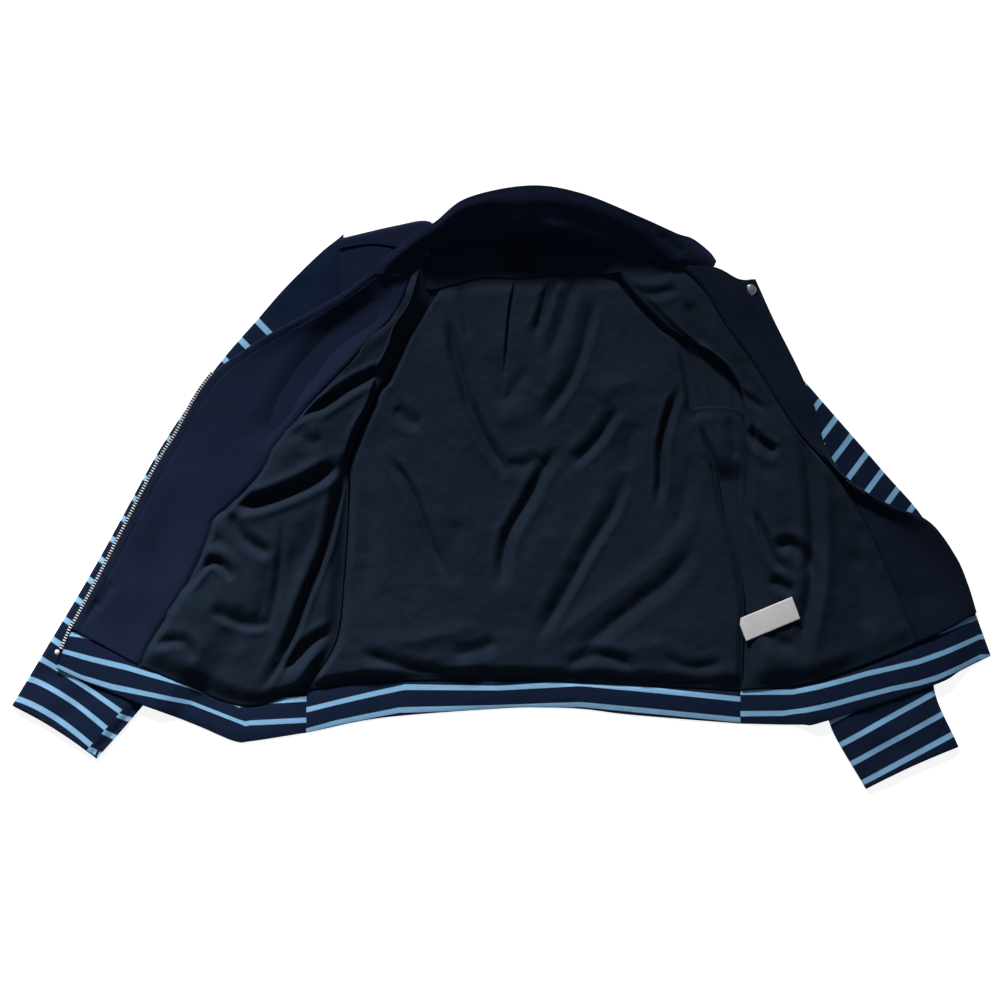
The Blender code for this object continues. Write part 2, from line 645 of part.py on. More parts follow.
def make_fronts(navy, slate, tape):
    sides = {
        "left": {
            "roll": LEFT_ROLL, "facing_seam": LEFT_FACING_SEAM, "edge": LEFT_EDGE,
            "hem": LEFT_HEM, "gorge": LEFT_GORGE, "armhole": LEFT_ARMHOLE,
            "sleeve": LEFT_SLEEVE, "folds": LEFT_FRONT_FOLDS, "edge_lift": 0.0,
            "shoulder_bow": SHOULDER_BOW, "lining_rows": ROWS - 1,
            "shoulder": [(-84, 248), (-175, 262), (-175, 45), (-150, 109)],
        },
        "right": {
            "roll": RIGHT_ROLL, "facing_seam": RIGHT_FACING_SEAM, "edge": RIGHT_EDGE,
            "hem": RIGHT_HEM, "gorge": RIGHT_GORGE, "armhole": RIGHT_ARMHOLE,
            "sleeve": RIGHT_SLEEVE, "folds": RIGHT_FRONT_FOLDS, "edge_lift": TAPE + TAPE_GAP + GAP,
            "shoulder_bow": 0.0, "lining_rows": ROWS,
            "shoulder": [(130, 229), (209, 250), (262, 115), (210, 165)],
        },
    }
    valleys = {}
    for word, side in sides.items():
        plan = front_plan(side)
        floor = front_floor(side, plan)
        front_shell(f"front_shell_{word}", side, plan, floor, navy)
        if word == "left":
            reach = 1.8 + (VALLEY_REACH - 1.8) * upper_share()[:, None]
            valley = plan[:, 0] + reach * row_outward(plan)
        else:
            valley = curve(RIGHT_SIDE_LINE, ROWS)
        open_share = armhole_share(valley)
        side_line = valley
        if word == "right":
            valley = valley + open_share[:, None] * np.array([ARMHOLE_REACH_FRONT, 0])
        front_lining(f"lining_front_{word}", side, plan, floor, valley, slate)
        valleys[word] = side_line
        facing = with_height(plan, floor + SHELL + STACK_GAP)[:, LINING_COLUMNS - 1:]
        facing = shift_end_column(facing, 0, GAP / 2)
        wall(f"facing_{word}", facing, SHELL, navy)
        if word == "right":
            make_right_tape(plan, floor, tape)
        else:
            make_left_tape(plan, tape)
    return valleys


def armhole_share(line):
    """1 in the middle of the open armhole, 0 above and below it."""
    return smooth(1.15 - np.abs(line[:, 1] - ARMHOLE_MIDDLE_Y) / ARMHOLE_HALF)


def make_right_tape(plan, floor, material):
    """Zip tape turned to the outside, under the free edge of the right front."""
    edge, inside = plan[:RIGHT_ZIP_ROWS, -1], plan[:RIGHT_ZIP_ROWS, -2]
    edge_floor, inside_floor = floor[:RIGHT_ZIP_ROWS, -1:], floor[:RIGHT_ZIP_ROWS, -2:-1]
    width = np.linalg.norm(edge - inside, axis=1, keepdims=True)
    lines = []
    for reach in (TAPE_WIDTH, 0.4):
        t = reach / width
        level = edge_floor * (1 - t) + inside_floor * t - TAPE_GAP - TAPE
        lines.append(np.concatenate([edge * (1 - t) + inside * t, level], axis=1))
    wall("zip_tape_right", np.array(lines).transpose(1, 0, 2), TAPE, material)


def make_left_tape(plan, material):
    """Zip tape beside the free edge of the left front and of its band."""
    edge = plan[:LEFT_ZIP_ROWS, -1]
    tail = np.array(LEFT_TAPE_TAIL, dtype=float)
    inner = np.vstack([tail + np.array([GAP, -GAP]), offset_line(edge, STACK_GAP)])
    far_edge = offset_line(edge, STACK_GAP + TAPE_SHOWING)
    outer = np.vstack([offset_line(tail, TAPE_SHOWING), far_edge])
    grid = with_height(np.stack([inner, outer], axis=1), OVER_SLEEVE + TAPE_RISE)
    wall("zip_tape_left", grid, TAPE, material)


def make_back(valleys, navy, slate):
    back_shell("back_shell", navy)
    left = even(valleys["left"][:-1], ROWS) + np.array([SIDE_GAP, 0])
    right = valleys["right"] - np.array([SIDE_GAP, 0])
    right = right - armhole_share(right)[:, None] * np.array([ARMHOLE_REACH_BACK, 0])
    top, bottom = curve(LINING_TOP, BACK_COLUMNS), curve(BACK_HEM, BACK_COLUMNS)
    plan = fitted_patch(left, right, bottom, top)
    u = np.linspace(0, 1, BACK_COLUMNS)[None, :]
    v = np.linspace(0, 1, ROWS)[:, None]
    free_ends = smooth(v * 12) * smooth((1 - v) * 12)
    free_sides = 0.25 + 0.75 * smooth(u * 8) * smooth((1 - u) * 8)
    relief = (BACK_PUFF + fold_relief(plan, BACK_FOLDS)) * free_ends * free_sides
    wall("lining_back", with_height(plan, SHELL + GAP + np.maximum(relief, 0)), LINING, slate)
    make_neck_facing(plan[-1], navy)
    back_edge, front_edge = curve(ARMHOLE_PATCH_BACK, 6), curve(ARMHOLE_PATCH_FRONT, 6)
    plan = patch(back_edge, front_edge, np.linspace(back_edge[0], front_edge[0], 4),
                 np.linspace(back_edge[-1], front_edge[-1], 4))
    wall("sleeve_lining_right", with_height(plan, SHELL + GAP), LINING, slate)


def make_neck_facing(lining_top, navy):
    """Facing between the collar seam and the lining, which climbs over the rolls at its ends."""
    low = np.vstack([NECK_FACING_START, lining_top + np.array([0, NECK_LINING_GAP]), NECK_FACING_END])
    top, bottom = curve(NECK_SEAM, NECK_COLUMNS), even(low, NECK_COLUMNS)
    plan = patch(np.linspace(bottom[0], top[0], 4), np.linspace(bottom[-1], top[-1], 4),
                 bottom, top)
    x, y = plan[..., 0], plan[..., 1]
    left_roll = np.interp(y, [205, 248], [-94, -81])
    climb = np.maximum(smooth(1 - (x - left_roll - 2) / 24), smooth((x - 104) / 24))
    level = SHELL + GAP + climb * (ROLL_FLOOR + GAP)
    wall("neck_facing", with_height(plan, level), SHELL, navy)


def fitted_patch(left, right, bottom, top):
    """Patch whose hem and top rows are stretched to end on its two side lines."""
    def fit(line, start, end):
        t = np.linspace(0, 1, len(line))[:, None]
        return line + (1 - t) * (start - line[0]) + t * (end - line[-1])

    return patch(left, right, fit(bottom, left[0], right[0]), fit(top, left[-1], right[-1]))


def make_collar(navy):
    surface = collar_surface()
    aim = normals(surface)
    wall_between("collar_upper", surface, aim, PLY_GAP, PLY_GAP + SHELL, navy)
    wall_between("collar_under", surface, aim, -PLY_GAP - SHELL, -PLY_GAP, navy)


def make_bands(stripe):
    """Double knit bands sewn to the hem, the side ones over the cuffs."""
    drop = np.array([0, -1.2])
    bands = (
        ("hem_band_back", BACK_HEM, BACK_BOTTOM, None),
        ("hem_band_left", LEFT_HEM[::-1], LEFT_BOTTOM[::-1], LEFT_SLEEVE),
        ("hem_band_right", RIGHT_HEM, RIGHT_BOTTOM, RIGHT_SLEEVE),
    )
    for name, top, bottom, table in bands:
        count = 17
        high, low = curve(top, count) + drop, curve(bottom, count)
        high[0, 0] += GAP
        low[0, 0] += GAP
        plan = patch(np.linspace(low[0], high[0], 4), np.linspace(low[-1], high[-1], 4), low, high)
        level = 0.0 if table is None else support(plan, sleeve_outline(table))
        wall(name, with_height(plan, level), BAND, stripe)


def make_trims(tape, steel, white):
    ring = [(SNAP_CENTRE[0] + 6 * np.cos(a), SNAP_CENTRE[1] + 6 * np.sin(a))
            for a in np.linspace(0, 2 * np.pi, 12, endpoint=False)]
    level = np.max(levels_on(ring, ["facing_right"])) + GAP
    turned_disc("snap_cap", (*SNAP_CENTRE, level), SNAP_PROFILE, steel)
    tape_top = OVER_SLEEVE + TAPE_RISE + TAPE
    zip_slider("zip_slider_right", steel)
    turned_disc("zip_pin_left", (*PIN_CENTRE, tape_top + GAP), PIN_PROFILE, steel)
    label("care_label", CARE_LABEL, ("lining_front_right", "lining_back"), white)
    label("neck_label", NECK_LABEL, ("neck_facing", "lining_back"), tape)
    label("size_tab", SIZE_TAB, ("neck_facing", "lining_back"), tape)


def build():
    for obj in list(bpy.data.objects):
        bpy.data.objects.remove(obj, do_unlink=True)
    navy = make_material("navy_ponte", (0.012, 0.017, 0.042), 0.85)
    slate = make_material("slate_lining", (0.010, 0.018, 0.030), 0.6)
    stripe = make_material("striped_knit", (0.016, 0.022, 0.050), 0.85)
    tape = make_material("zip_tape", (0.010, 0.012, 0.030), 0.8)
    steel = make_material("snap_metal", (0.45, 0.45, 0.44), 0.35, 1.0)
    white = make_material("white_satin", (0.75, 0.73, 0.75), 0.45)
    sleeve("sleeve_left", LEFT_SLEEVE, 11, stripe)
    sleeve("sleeve_right", RIGHT_SLEEVE, 12, stripe)
    valleys = make_fronts(navy, slate, tape)
    make_back(valleys, navy, slate)
    make_collar(navy)
    make_bands(stripe)
    make_trims(tape, steel, white)


build()
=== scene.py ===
"""Looks of the opened jacket: cloth shells with their folds, knit stripes, zip and trims.

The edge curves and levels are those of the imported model. Sizes are in millimetres until a
mesh is made. X runs across the jacket, Y from hem to collar, Z up off the surface.
"""

import math

import bpy
import numpy as np
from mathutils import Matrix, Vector, kdtree


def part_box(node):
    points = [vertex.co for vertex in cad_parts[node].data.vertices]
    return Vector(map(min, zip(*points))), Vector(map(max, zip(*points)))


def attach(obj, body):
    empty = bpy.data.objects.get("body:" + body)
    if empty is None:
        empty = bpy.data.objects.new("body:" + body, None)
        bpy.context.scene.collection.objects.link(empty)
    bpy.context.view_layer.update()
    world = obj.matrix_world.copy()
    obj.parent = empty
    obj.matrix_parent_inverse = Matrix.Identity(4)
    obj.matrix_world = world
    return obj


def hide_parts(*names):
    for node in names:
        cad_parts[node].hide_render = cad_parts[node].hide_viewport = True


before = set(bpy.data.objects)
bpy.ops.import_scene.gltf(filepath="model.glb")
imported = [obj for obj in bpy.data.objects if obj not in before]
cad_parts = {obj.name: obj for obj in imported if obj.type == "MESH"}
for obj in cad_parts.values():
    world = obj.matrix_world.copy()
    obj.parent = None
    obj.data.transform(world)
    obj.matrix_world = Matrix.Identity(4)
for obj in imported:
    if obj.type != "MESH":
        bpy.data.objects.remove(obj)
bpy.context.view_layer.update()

MM = 0.001
# Width in metres that the camera sees on the surface
VIEW_WIDTH = 1.09

# Cloth thicknesses, and the gaps at seams and between stacked cloths, as packed
SHELL, BAND = 1.2, 2.6
GAP, STACK_GAP = 0.3, 0.5
CLEAR_OF_GROUND = 0.12

# Levels of a front over the sleeve, at its shoulder and at its upper roll, and the share of its
# width over which it comes down from the roll
OVER_SLEEVE = 6.6
SHOULDER_FLOOR = 5.0
ROLL_FLOOR = 9.6
ROLL_SHARE = 0.16
# How far out a sleeve still holds a panel up, and how far the panel then takes to come down
SUPPORT_MARGIN = 9.0
SUPPORT_FALL = 34.0
# Bow of the left shoulder seam, and inside radius of the back's turn to that seam
SHOULDER_BOW = 9.0
TURN_INSIDE = 2.5

# Extra fullness of the linings over their solids
BACK_FULLNESS = 8.0
FRONT_FULLNESS = 8.0

# Stripes: blur of their edges as a share of the pitch, then the step and turn that they take
# where they cross the underarm seam, at the given distance from the left sleeve's inner edge
STRIPE_PITCH = 25.4
STRIPE_WIDTH = 6.2
STRIPE_BLUR = 0.012
STRIPE_STEP = -0.2
STRIPE_TURN = 0.01
CUFF_SEAM = 14.0
CUFF_BOW = 0.24
# Depth and inset of the rings of a cuff's wall where it turns in
CUFF_LIP = [(0.4, 0.5), (2.0, 1.3), (8.0, 1.5), (22.0, 1.5)]
# How far a front's hem band reaches under the back's
BAND_OVERLAP = 1.6

TOOTH_PITCH = 3.0
TAPE_WIDTH = 4.4
TAPE_THICKNESS = 0.9
# Share of a stitch's length, and the thread's size and lift there
STITCH_RINGS = [(0, 0.35, -0.1), (0.2, 1, 0.12), (0.8, 1, 0.12), (1, 0.35, -0.1)]

# ---------------------------------------------------------------- edge curves (x, y)

BACK_LEFT = [(-212, -221), (-178.5, -168), (-169, -98), (-163.5, -14), (-159, 30), (-166, 75),
             (-173, 130), (-175.4, 200), (-175.2, 266)]
BACK_RIGHT = [(262, -221), (266.5, -167), (268.5, -123), (260.5, -60), (254.5, 0), (259, 50),
              (262, 85), (262, 110), (252, 150), (236, 200), (214, 258)]
BACK_TOP = [(-175.2, 266), (-113, 280.5), (-78, 285), (-62, 266), (-33, 259.5), (21, 263.5),
            (76, 261), (118, 252), (142, 258), (214, 258)]
BACK_HEM = [(-212, -221), (-139, -212), (0, -210), (130, -215), (262, -221)]
BACK_BOTTOM = [(-212, -267), (-129, -250.5), (0, -240.5), (50, -239.5), (90, -241), (130, -246),
               (174, -250), (262, -257)]
LINING_TOP = [(-62, 221), (-48, 223), (-20, 229), (20, 229), (62, 233), (93, 233), (120, 234)]
NECK_TOP = [(-92, 243), (-84, 251), (-72, 259), (-33, 268), (21, 272), (76, 270), (130, 261),
            (162, 244)]
NECK_LOW = [(-97, 218), (-74, 214), (-55, 219), (-20, 227), (20, 227), (62, 231), (93, 231),
            (120, 232), (154, 236)]

LEFT_ROLL = [(-213, -221), (-180, -168), (-171, -98), (-166, -14), (-166, 24), (-159, 48),
             (-153, 68), (-143, 86), (-136, 105), (-131, 130), (-120, 152), (-112, 178),
             (-97, 202), (-84, 248)]
LEFT_SIDE_LINE = [(-211, -221), (-178, -168), (-169, -98), (-163.5, -14), (-163.5, 24),
                  (-156.5, 46),
                  (-151, 62), (-140, 86), (-132, 102), (-121, 114), (-111, 135), (-98.5, 163),
                  (-89.5, 178), (-77, 197), (-62, 221)]
LEFT_ARMHOLE = [(-221, -218), (-189, -166), (-179, -98), (-174, -14), (-171, 45), (-174, 110),
                (-175, 190), (-175.4, 258)]
LEFT_FACING_SEAM = [(-392, -195), (-381, -169), (-360, -136), (-339, -102), (-318, -56),
                    (-312, -36),
                    (-289, -16), (-256, 20), (-243, 48), (-221, 74), (-204, 94), (-164, 134),
                    (-141, 161), (-120, 181), (-106, 204), (-92, 243)]
LEFT_EDGE = [(-466, -155), (-459, -143), (-440.5, -109), (-426, -81), (-373.5, 21), (-352, 56),
             (-332.5, 92.5), (-316, 117), (-298, 134), (-254, 163), (-215, 184), (-186, 200.5),
             (-166, 212.5), (-150, 224.5), (-139, 232)]
LEFT_HEM = [(-213, -221), (-278, -236.5), (-346, -209), (-388, -190), (-444, -164.5), (-466, -155)]
LEFT_GORGE = [(-84, 248), (-106, 230), (-139, 232)]
LEFT_BOTTOM = [(-213, -267), (-271, -276), (-290, -276), (-328, -260), (-371, -243), (-400, -232),
               (-483, -197)]

RIGHT_ROLL = [(263, -221), (268, -167), (270, -123), (262, -60), (258, 0), (263, 60), (263, 98),
              (249, 128), (226, 147), (200, 163), (181, 178), (163, 196), (143, 217), (132, 234)]
RIGHT_ARMHOLE = [(272, -222), (277, -167), (279, -123), (272, -60), (266, 0), (268, 60),
                 (262, 115), (247, 158), (228, 200), (209, 248)]
RIGHT_SIDE_LINE = [(263, -221), (264, -167), (265, -123), (257, -80), (243, -29), (236, 8),
                   (227, 44), (221, 66), (209, 78), (206, 98), (201, 126), (193, 156), (174, 171),
                   (154, 190), (135, 212), (120, 234)]
RIGHT_VALLEY = [*RIGHT_SIDE_LINE[:6], (229, 44), (235, 66), (258, 80), (266, 100), (252, 130),
                (229, 150), (198, 160), (176, 173), (156, 192), (137, 214), (122, 236)]
RIGHT_FACING_SEAM = [(452, -170), (417, -85), (385, -19), (359, 19), (319, 65), (275, 134),
                     (247, 172), (225, 209), (197, 240)]
RIGHT_EDGE = [(517, -137), (507, -106), (493, -76), (463, -38), (420, -19), (377, 8), (352, 44),
              (340, 87), (324, 125), (297, 179), (276, 226)]
RIGHT_HEM = [(263, -219), (326, -214.5), (381, -198.5), (435, -177.5), (480, -157.5), (517, -137)]
RIGHT_GORGE = [(130, 229), (160, 237), (197, 241), (233, 239), (259, 226), (276, 226)]
RIGHT_BOTTOM = [(263, -257), (326, -258), (353, -254), (470, -215), (501, -199), (534, -183)]

# Sleeves: outer edge and underarm edge, armhole to cuff
LEFT_SLEEVE_OUTER = [(-176, 271), (-197, 254), (-235, 216.5), (-265, 182), (-300, 142),
                     (-334, 97), (-361, 57),
                     (-382, 22), (-412, -33), (-439, -82), (-463.5, -124), (-489.5, -167),
                     (-502, -188), (-532, -238)]
LEFT_SLEEVE_INNER = [(-176, 40), (-217, -14), (-262, -72), (-308, -132), (-350, -190),
                     (-385, -233), (-415, -268), (-440, -296)]
RIGHT_SLEEVE_OUTER = [(215, 261), (262, 198), (310, 140), (362, 80), (417, 17), (463, -38),
                      (485, -98), (484, -160), (472, -217), (499, -283)]
RIGHT_SLEEVE_INNER = [(288, 62), (288, 8), (296, -36), (314, -78), (336, -112), (350, -146),
                      (355, -182), (355, -222), (360, -262), (398, -329)]

# marks: where cross stripes meet the outer edge, as x, y and stripe number. angles: way that a
# stripe runs in from that edge, as a share of the sleeve's length and degrees. cuff: how far its
# open end bows in. seed: of its unevenness
SLEEVES = {
    "left": {"outer": LEFT_SLEEVE_OUTER, "inner": LEFT_SLEEVE_INNER, "cuff": 3.3, "seed": 151,
             "marks": [(-265, 182, 0), (-335, 95, 4), (-410, -35, 10), (-530, -229, 19)],
             "angles": [(0.0, -47), (0.22, -46), (0.5, -35), (1.0, -33)]},
    "right": {"outer": RIGHT_SLEEVE_OUTER, "inner": RIGHT_SLEEVE_INNER, "cuff": 1.8, "seed": 171,
              "marks": [(333, 114, 2), (450, -20, 9), (470, -225, 17), (492, -269, 19)],
              "angles": [(0.0, -128), (0.55, -127), (0.8, -150), (1.0, -152)]},
}
SLEEVE_HEIGHTS = [6.2, 6.2, 5.0]

# Collar sections, left gorge to right gorge: neck seam, roll and outer edge (x, y, z)
COLLAR = [
    ((-103, 231, 10.6), (-114, 230.5, 13), (-128, 230.5, 17.5), (-139, 232, 16)),
    ((-94, 240, 10.6), (-103, 243, 15), (-116, 245, 21), (-125, 247, 20)),
    ((-84, 250, 10.2), (-87, 257, 17), (-91, 264, 25), (-97, 270, 24.5)),
    ((-64, 259, 7), (-65, 269, 20), (-67, 278, 31), (-70, 285.5, 31.5)),
    ((-36, 265, 2.6), (-36, 280, 24), (-36, 297.5, 38), (-35, 310.5, 41)),
    ((21, 268, 2.2), (24, 283, 27), (28, 304, 42), (31, 323, 46)),
    ((76, 266, 2.4), (79, 280, 25), (83, 298, 39), (87, 315, 43)),
    ((130, 256, 7), (136, 265, 19), (143, 278.5, 29), (150, 291, 32)),
    ((162, 246, 11), (168, 254, 18), (178, 264, 23), (190, 274, 22.5)),
    ((186, 238, 11.0), (193, 247, 17), (200, 258, 18.5), (208, 268.5, 16)),
    ((213, 237.5, 11.2), (218, 245.5, 14), (222, 250.5, 14.4), (226, 255, 12.6)),
    ((230, 236.5, 11.2), (232, 240, 12.2), (233, 242.5, 12.2), (234, 244.5, 11.4)),
]

# ---------------------------------------------------------------- creases
# Each row: height (- is a trough), half width to the left of its run, half width to the
# right, and its run as (x, y) points. It fades out at both ends.

BACK_FOLDS = [
    (-5.0, 7, 6, [(-57, 190), (-51, 148), (-43, 123), (-37, 98), (-31, 83), (-22, 62),
                  (-11, 42), (0, 25), (11, 6)]),
    (-2.0, 6, 7, [(-46, 232), (-42, 208), (-34, 159)]),
    (-3.8, 6, 6, [(60, 232), (52, 210), (44, 184), (36, 162)]),
    (-3.4, 6, 10, [(104, 213), (94, 166), (78, 120), (56, 86), (39, 65)]),
    (-1.8, 7, 7, [(80, 232), (74, 204), (60, 162), (49, 136)]),
    (-3.6, 6, 9, [(128, 88), (118, 68), (102, 46), (75, 20)]),
    (-4.4, 8, 7, [(66, 46), (47, 20), (31, -12), (13, -42), (5, -62), (0, -114)]),
    (-2.2, 8, 10, [(5, 29), (23, 23), (49, 34)]),
    (-3.8, 6, 11, [(139, 20), (122, -27), (98, -66), (69, -118), (51, -149), (35, -172)]),
    (3.0, 12, 9, [(211, -29), (180, -71), (139, -106), (87, -143), (43, -182)]),
    (-2.4, 10, 9, [(217, -58), (185, -99), (152, -125), (108, -160), (78, -193)]),
    (-4.6, 6, 5, [(196, 112), (186, 88), (179, 64), (174.5, 40), (174, 7), (170, -24)]),
    (-3.6, 5, 6, [(-126, 38), (-106, 12), (-91, -18), (-76, -60), (-60, -100)]),
    (-2.2, 9, 8, [(-116, 88), (-103, 74), (-84, 66)]),
    (-1.3, 8, 8, [(-6, 114), (4, 96), (16, 108), (32, 134)]),
    (1.8, 9, 12, [(-8, 84), (5, 74), (24, 84), (44, 112)]),
    (1.8, 9, 9, [(104, 93), (122, 108), (152, 114)]),
    (-1.6, 12, 12, [(152, 73), (139, 46), (135, 13)]),
    (-1.5, 10, 10, [(207, 40), (202, -3), (187, -58)]),
    (2.2, 10, 10, [(-90, 190), (-112, 140), (-128, 95), (-150, 40)]),
    (1.6, 16, 16, [(-70, 160), (-62, 110), (-40, 60), (-10, 20)]),
    (1.4, 18, 14, [(20, 190), (26, 140), (60, 100)]),
    (-1.4, 12, 12, [(-148, 0), (-142, -60), (-150, -120)]),
    (1.3, 20, 20, [(60, -30), (30, -90), (-20, -140)]),
    (-1.4, 14, 14, [(-40, -30), (-52, -70), (-44, -110)]),
    (-3.4, 9, 8, [(-155, -178), (-126, -190), (-88, -200), (-53, -200)]),
    (-2.6, 9, 9, [(-53, -183), (-28, -178), (-1, -167)]),
    (-2.4, 8, 8, [(65, -197), (108, -183), (152, -200)]),
    (-2.4, 8, 9, [(174, -183), (207, -197), (245, -191)]),
    (2.4, 10, 10, [(-140, -160), (-100, -168), (-60, -160), (-20, -150)]),
    (2.0, 10, 10, [(90, -168), (140, -176), (190, -168)]),
]
LEFT_FRONT_FOLDS = [
    (-6.4, 7, 6, [(-110, 132), (-126, 127), (-142, 120), (-163, 109), (-188, 92), (-212, 78)]),
    (-2.5, 4, 4, [(-180, 98), (-205, 82), (-232, 66)]),
    (2.4, 8, 8, [(-104, 192), (-122, 172), (-150, 148), (-182, 120)]),
    (-7.4, 9, 8, [(-294, -22), (-266, -18), (-236, -8), (-205, 6), (-168, 27)]),
    (3.2, 10, 12, [(-286, -8), (-252, -2), (-222, 12), (-190, 34)]),
    (-4.6, 8, 4, [(-340, -112), (-324, -90), (-311, -82), (-299, -90), (-290, -104)]),
    (-3.4, 8, 7, [(-295, -25), (-281, -53), (-264, -66), (-245, -75)]),
    (-2.8, 12, 5, [(-318, -132), (-290, -146), (-268, -151), (-246, -146)]),
    (-2.6, 8, 6, [(-382, -174), (-362, -168), (-343, -170), (-330, -191)]),
    (-5.5, 4, 8, [(-158, 56), (-166, 22), (-177, -19), (-188, -64), (-212, -126), (-222, -155),
                  (-244, -199), (-266, -229)]),
    (2.6, 9, 9, [(-176, 20), (-196, -60), (-222, -120), (-244, -170)]),
    (-1.8, 5, 5, [(-236, -36), (-239, -80), (-245, -123), (-256, -167)]),
    (-4.5, 9, 7, [(-177, -154), (-199, -165), (-219, -182), (-240, -206)]),
    (2.6, 14, 14, [(-186, 73), (-229, 38), (-262, -2)]),
    (2.0, 14, 14, [(-290, -60), (-300, -110), (-330, -150)]),
    (2.2, 12, 12, [(-262, -100), (-272, -150), (-290, -200)]),
    (-1.8, 9, 9, [(-226, 62), (-206, 50), (-190, 52)]),
    (-1.6, 8, 8, [(-330, -60), (-312, -62), (-300, -52)]),
]
LEFT_FACING_FOLDS = [
    (-6.2, 13, 13, [(-116, 214), (-134, 198), (-160, 178), (-188, 151), (-218, 113), (-238, 80),
                    (-262, 36)]),
    (1.8, 24, 24, [(-130, 176), (-190, 120), (-250, 50), (-310, -40)]),
    (-1.4, 20, 20, [(-350, 0), (-372, -60), (-410, -120)]),
    (1.2, 22, 22, [(-320, 60), (-370, -20), (-400, -80)]),
    (-1.0, 16, 16, [(-360, -90), (-384, -130), (-400, -165)]),
    (-1.5, 5, 6, [(-420, -101), (-428, -114), (-441, -136)]),
    (-1.1, 5, 5, [(-436, -120), (-443, -132), (-451, -145)]),
]
RIGHT_FRONT_FOLDS = [
    (-5.0, 6, 8, [(268, 66), (280, 50), (302, 36)]),
    (-4.2, 7, 4, [(268, 60), (268, 20), (266, -20), (264, -47), (274, -68)]),
    (-3.6, 6, 6, [(271, -22), (285, -52), (299, -80), (314, -95)]),
    (-4.0, 8, 8, [(294, -68), (314, -62), (332, -78), (334, -98)]),
    (-3.0, 7, 7, [(292, -99), (307, -108), (320, -114)]),
    (-4.2, 9, 8, [(312, 74), (330, 40), (338, -20), (339, -80), (333, -133), (322, -196)]),
    (4.0, 10, 9, [(322, 70), (346, 30), (354, -30), (355, -85), (348, -140), (338, -196)]),
    (-2.6, 5, 5, [(217, 60), (224, 40), (233, 19), (241, -14)]),
    (-1.8, 6, 6, [(136, 240), (160, 230), (188, 236)]),
    (1.6, 6, 6, [(126, 232), (150, 221), (174, 220), (194, 233)]),
    (-2.0, 7, 6, [(140, 218), (163, 209), (196, 216)]),
    (-2.6, 9, 7, [(203, 203), (214, 169), (223, 148)]),
    (-2.6, 5, 5, [(256, 104), (274, 93), (287, 82)]),
    (2.2, 9, 9, [(236, 200), (262, 140), (300, 84)]),
    (2.0, 10, 10, [(288, 20), (300, -30), (312, -48)]),
    (-1.8, 14, 14, [(380, -60), (392, -110), (404, -160)]),
    (-2.2, 8, 8, [(282, -150), (300, -168), (322, -172)]),
    (2.0, 9, 9, [(278, -176), (304, -190), (330, -184)]),
]
RIGHT_FACING_FOLDS = [
    (-1.6, 20, 20, [(420, -50), (450, -90), (470, -140)]),
    (1.2, 22, 22, [(400, -30), (430, -70), (445, -120)]),
    (-1.2, 16, 16, [(262, 200), (290, 150), (320, 90)]),
]
SLEEVE_FOLDS = [
    (-1.6, 14, 10, [(-210, 230), (-226, 196), (-250, 170)]),
    (-1.4, 12, 14, [(-452, -168), (-470, -196), (-500, -214)]),
    (-1.6, 10, 12, [(-432, -214), (-462, -236), (-470, -262)]),
    (-1.4, 12, 12, [(-492, -190), (-506, -222), (-520, -236)]),
    (-1.8, 12, 10, [(392, -246), (420, -252), (452, -238)]),
    (-1.6, 12, 12, [(404, -300), (430, -282), (446, -290)]),
    (-1.2, 16, 16, [(380, 50), (400, 20), (410, -10)]),
    (-1.2, 12, 12, [(460, -250), (470, -270), (486, -276)]),
]
COLLAR_FOLDS = [
    (4.6, 5, 8, [(36, 287), (66, 283), (96, 275), (122, 264), (134, 259)]),
    (-1.2, 8, 8, [(24, 304), (66, 299), (104, 288), (140, 274)]),
    (3.0, 8, 10, [(-2, 282), (16, 285), (36, 282), (50, 276)]),
    (-2.0, 9, 9, [(-60, 276), (-30, 290), (6, 298)]),
    (-1.8, 6, 6, [(168, 274), (186, 262), (200, 250)]),
]

UNDERARM_FOLDS = [
    (-3.4, 4, 4, [(216, 66), (222, 50), (229, 34), (238, 4)]),
    (-1.6, 5, 5, [(246, 78), (252, 56), (256, 28)]),
    (1.4, 6, 6, [(236, 70), (240, 44), (250, 10)]),
]

# Centre pleat of the back lining: its run, the step at its edge and the width it eases over
PLEAT_RUN = [(17, 229), (10, 194), (6, 147), (4, 116)]
PLEAT_STEP = 2.4
PLEAT_EASE = 26.0

# Stripe centre lines on the hem band: number 0 is the lower one and 1 the upper one
BAND_STRIPES = {
    "left": ([(-481, -195), (-456, -207), (-423, -217), (-379, -226), (-337, -235), (-278, -258),
              (-273, -257), (-213, -254)],
             [(-477, -178), (-445, -187), (-407, -196), (-381, -204), (-349, -213), (-285, -238),
              (-264, -234), (-213, -231)]),
    "back": ([(-212, -266), (-180, -257), (-146, -250), (-110, -243), (-1, -240), (87, -237),
              (173, -245), (262, -254)],
             [(-212, -243), (-180, -235), (-146, -227), (-104, -218), (-1, -219), (87, -214),
              (173, -222), (260, -231)]),
    "right": ([(265, -247), (308, -246.5), (331, -243), (359, -237), (390, -228.5), (425, -219.5),
               (454, -213.5), (474, -207.5), (501, -196), (523, -185)],
              [(261, -223.5), (318, -223.5), (347, -217), (374, -210), (398, -203), (425, -197),
               (454, -190), (483.5, -179.5), (522.5, -163)]),
}

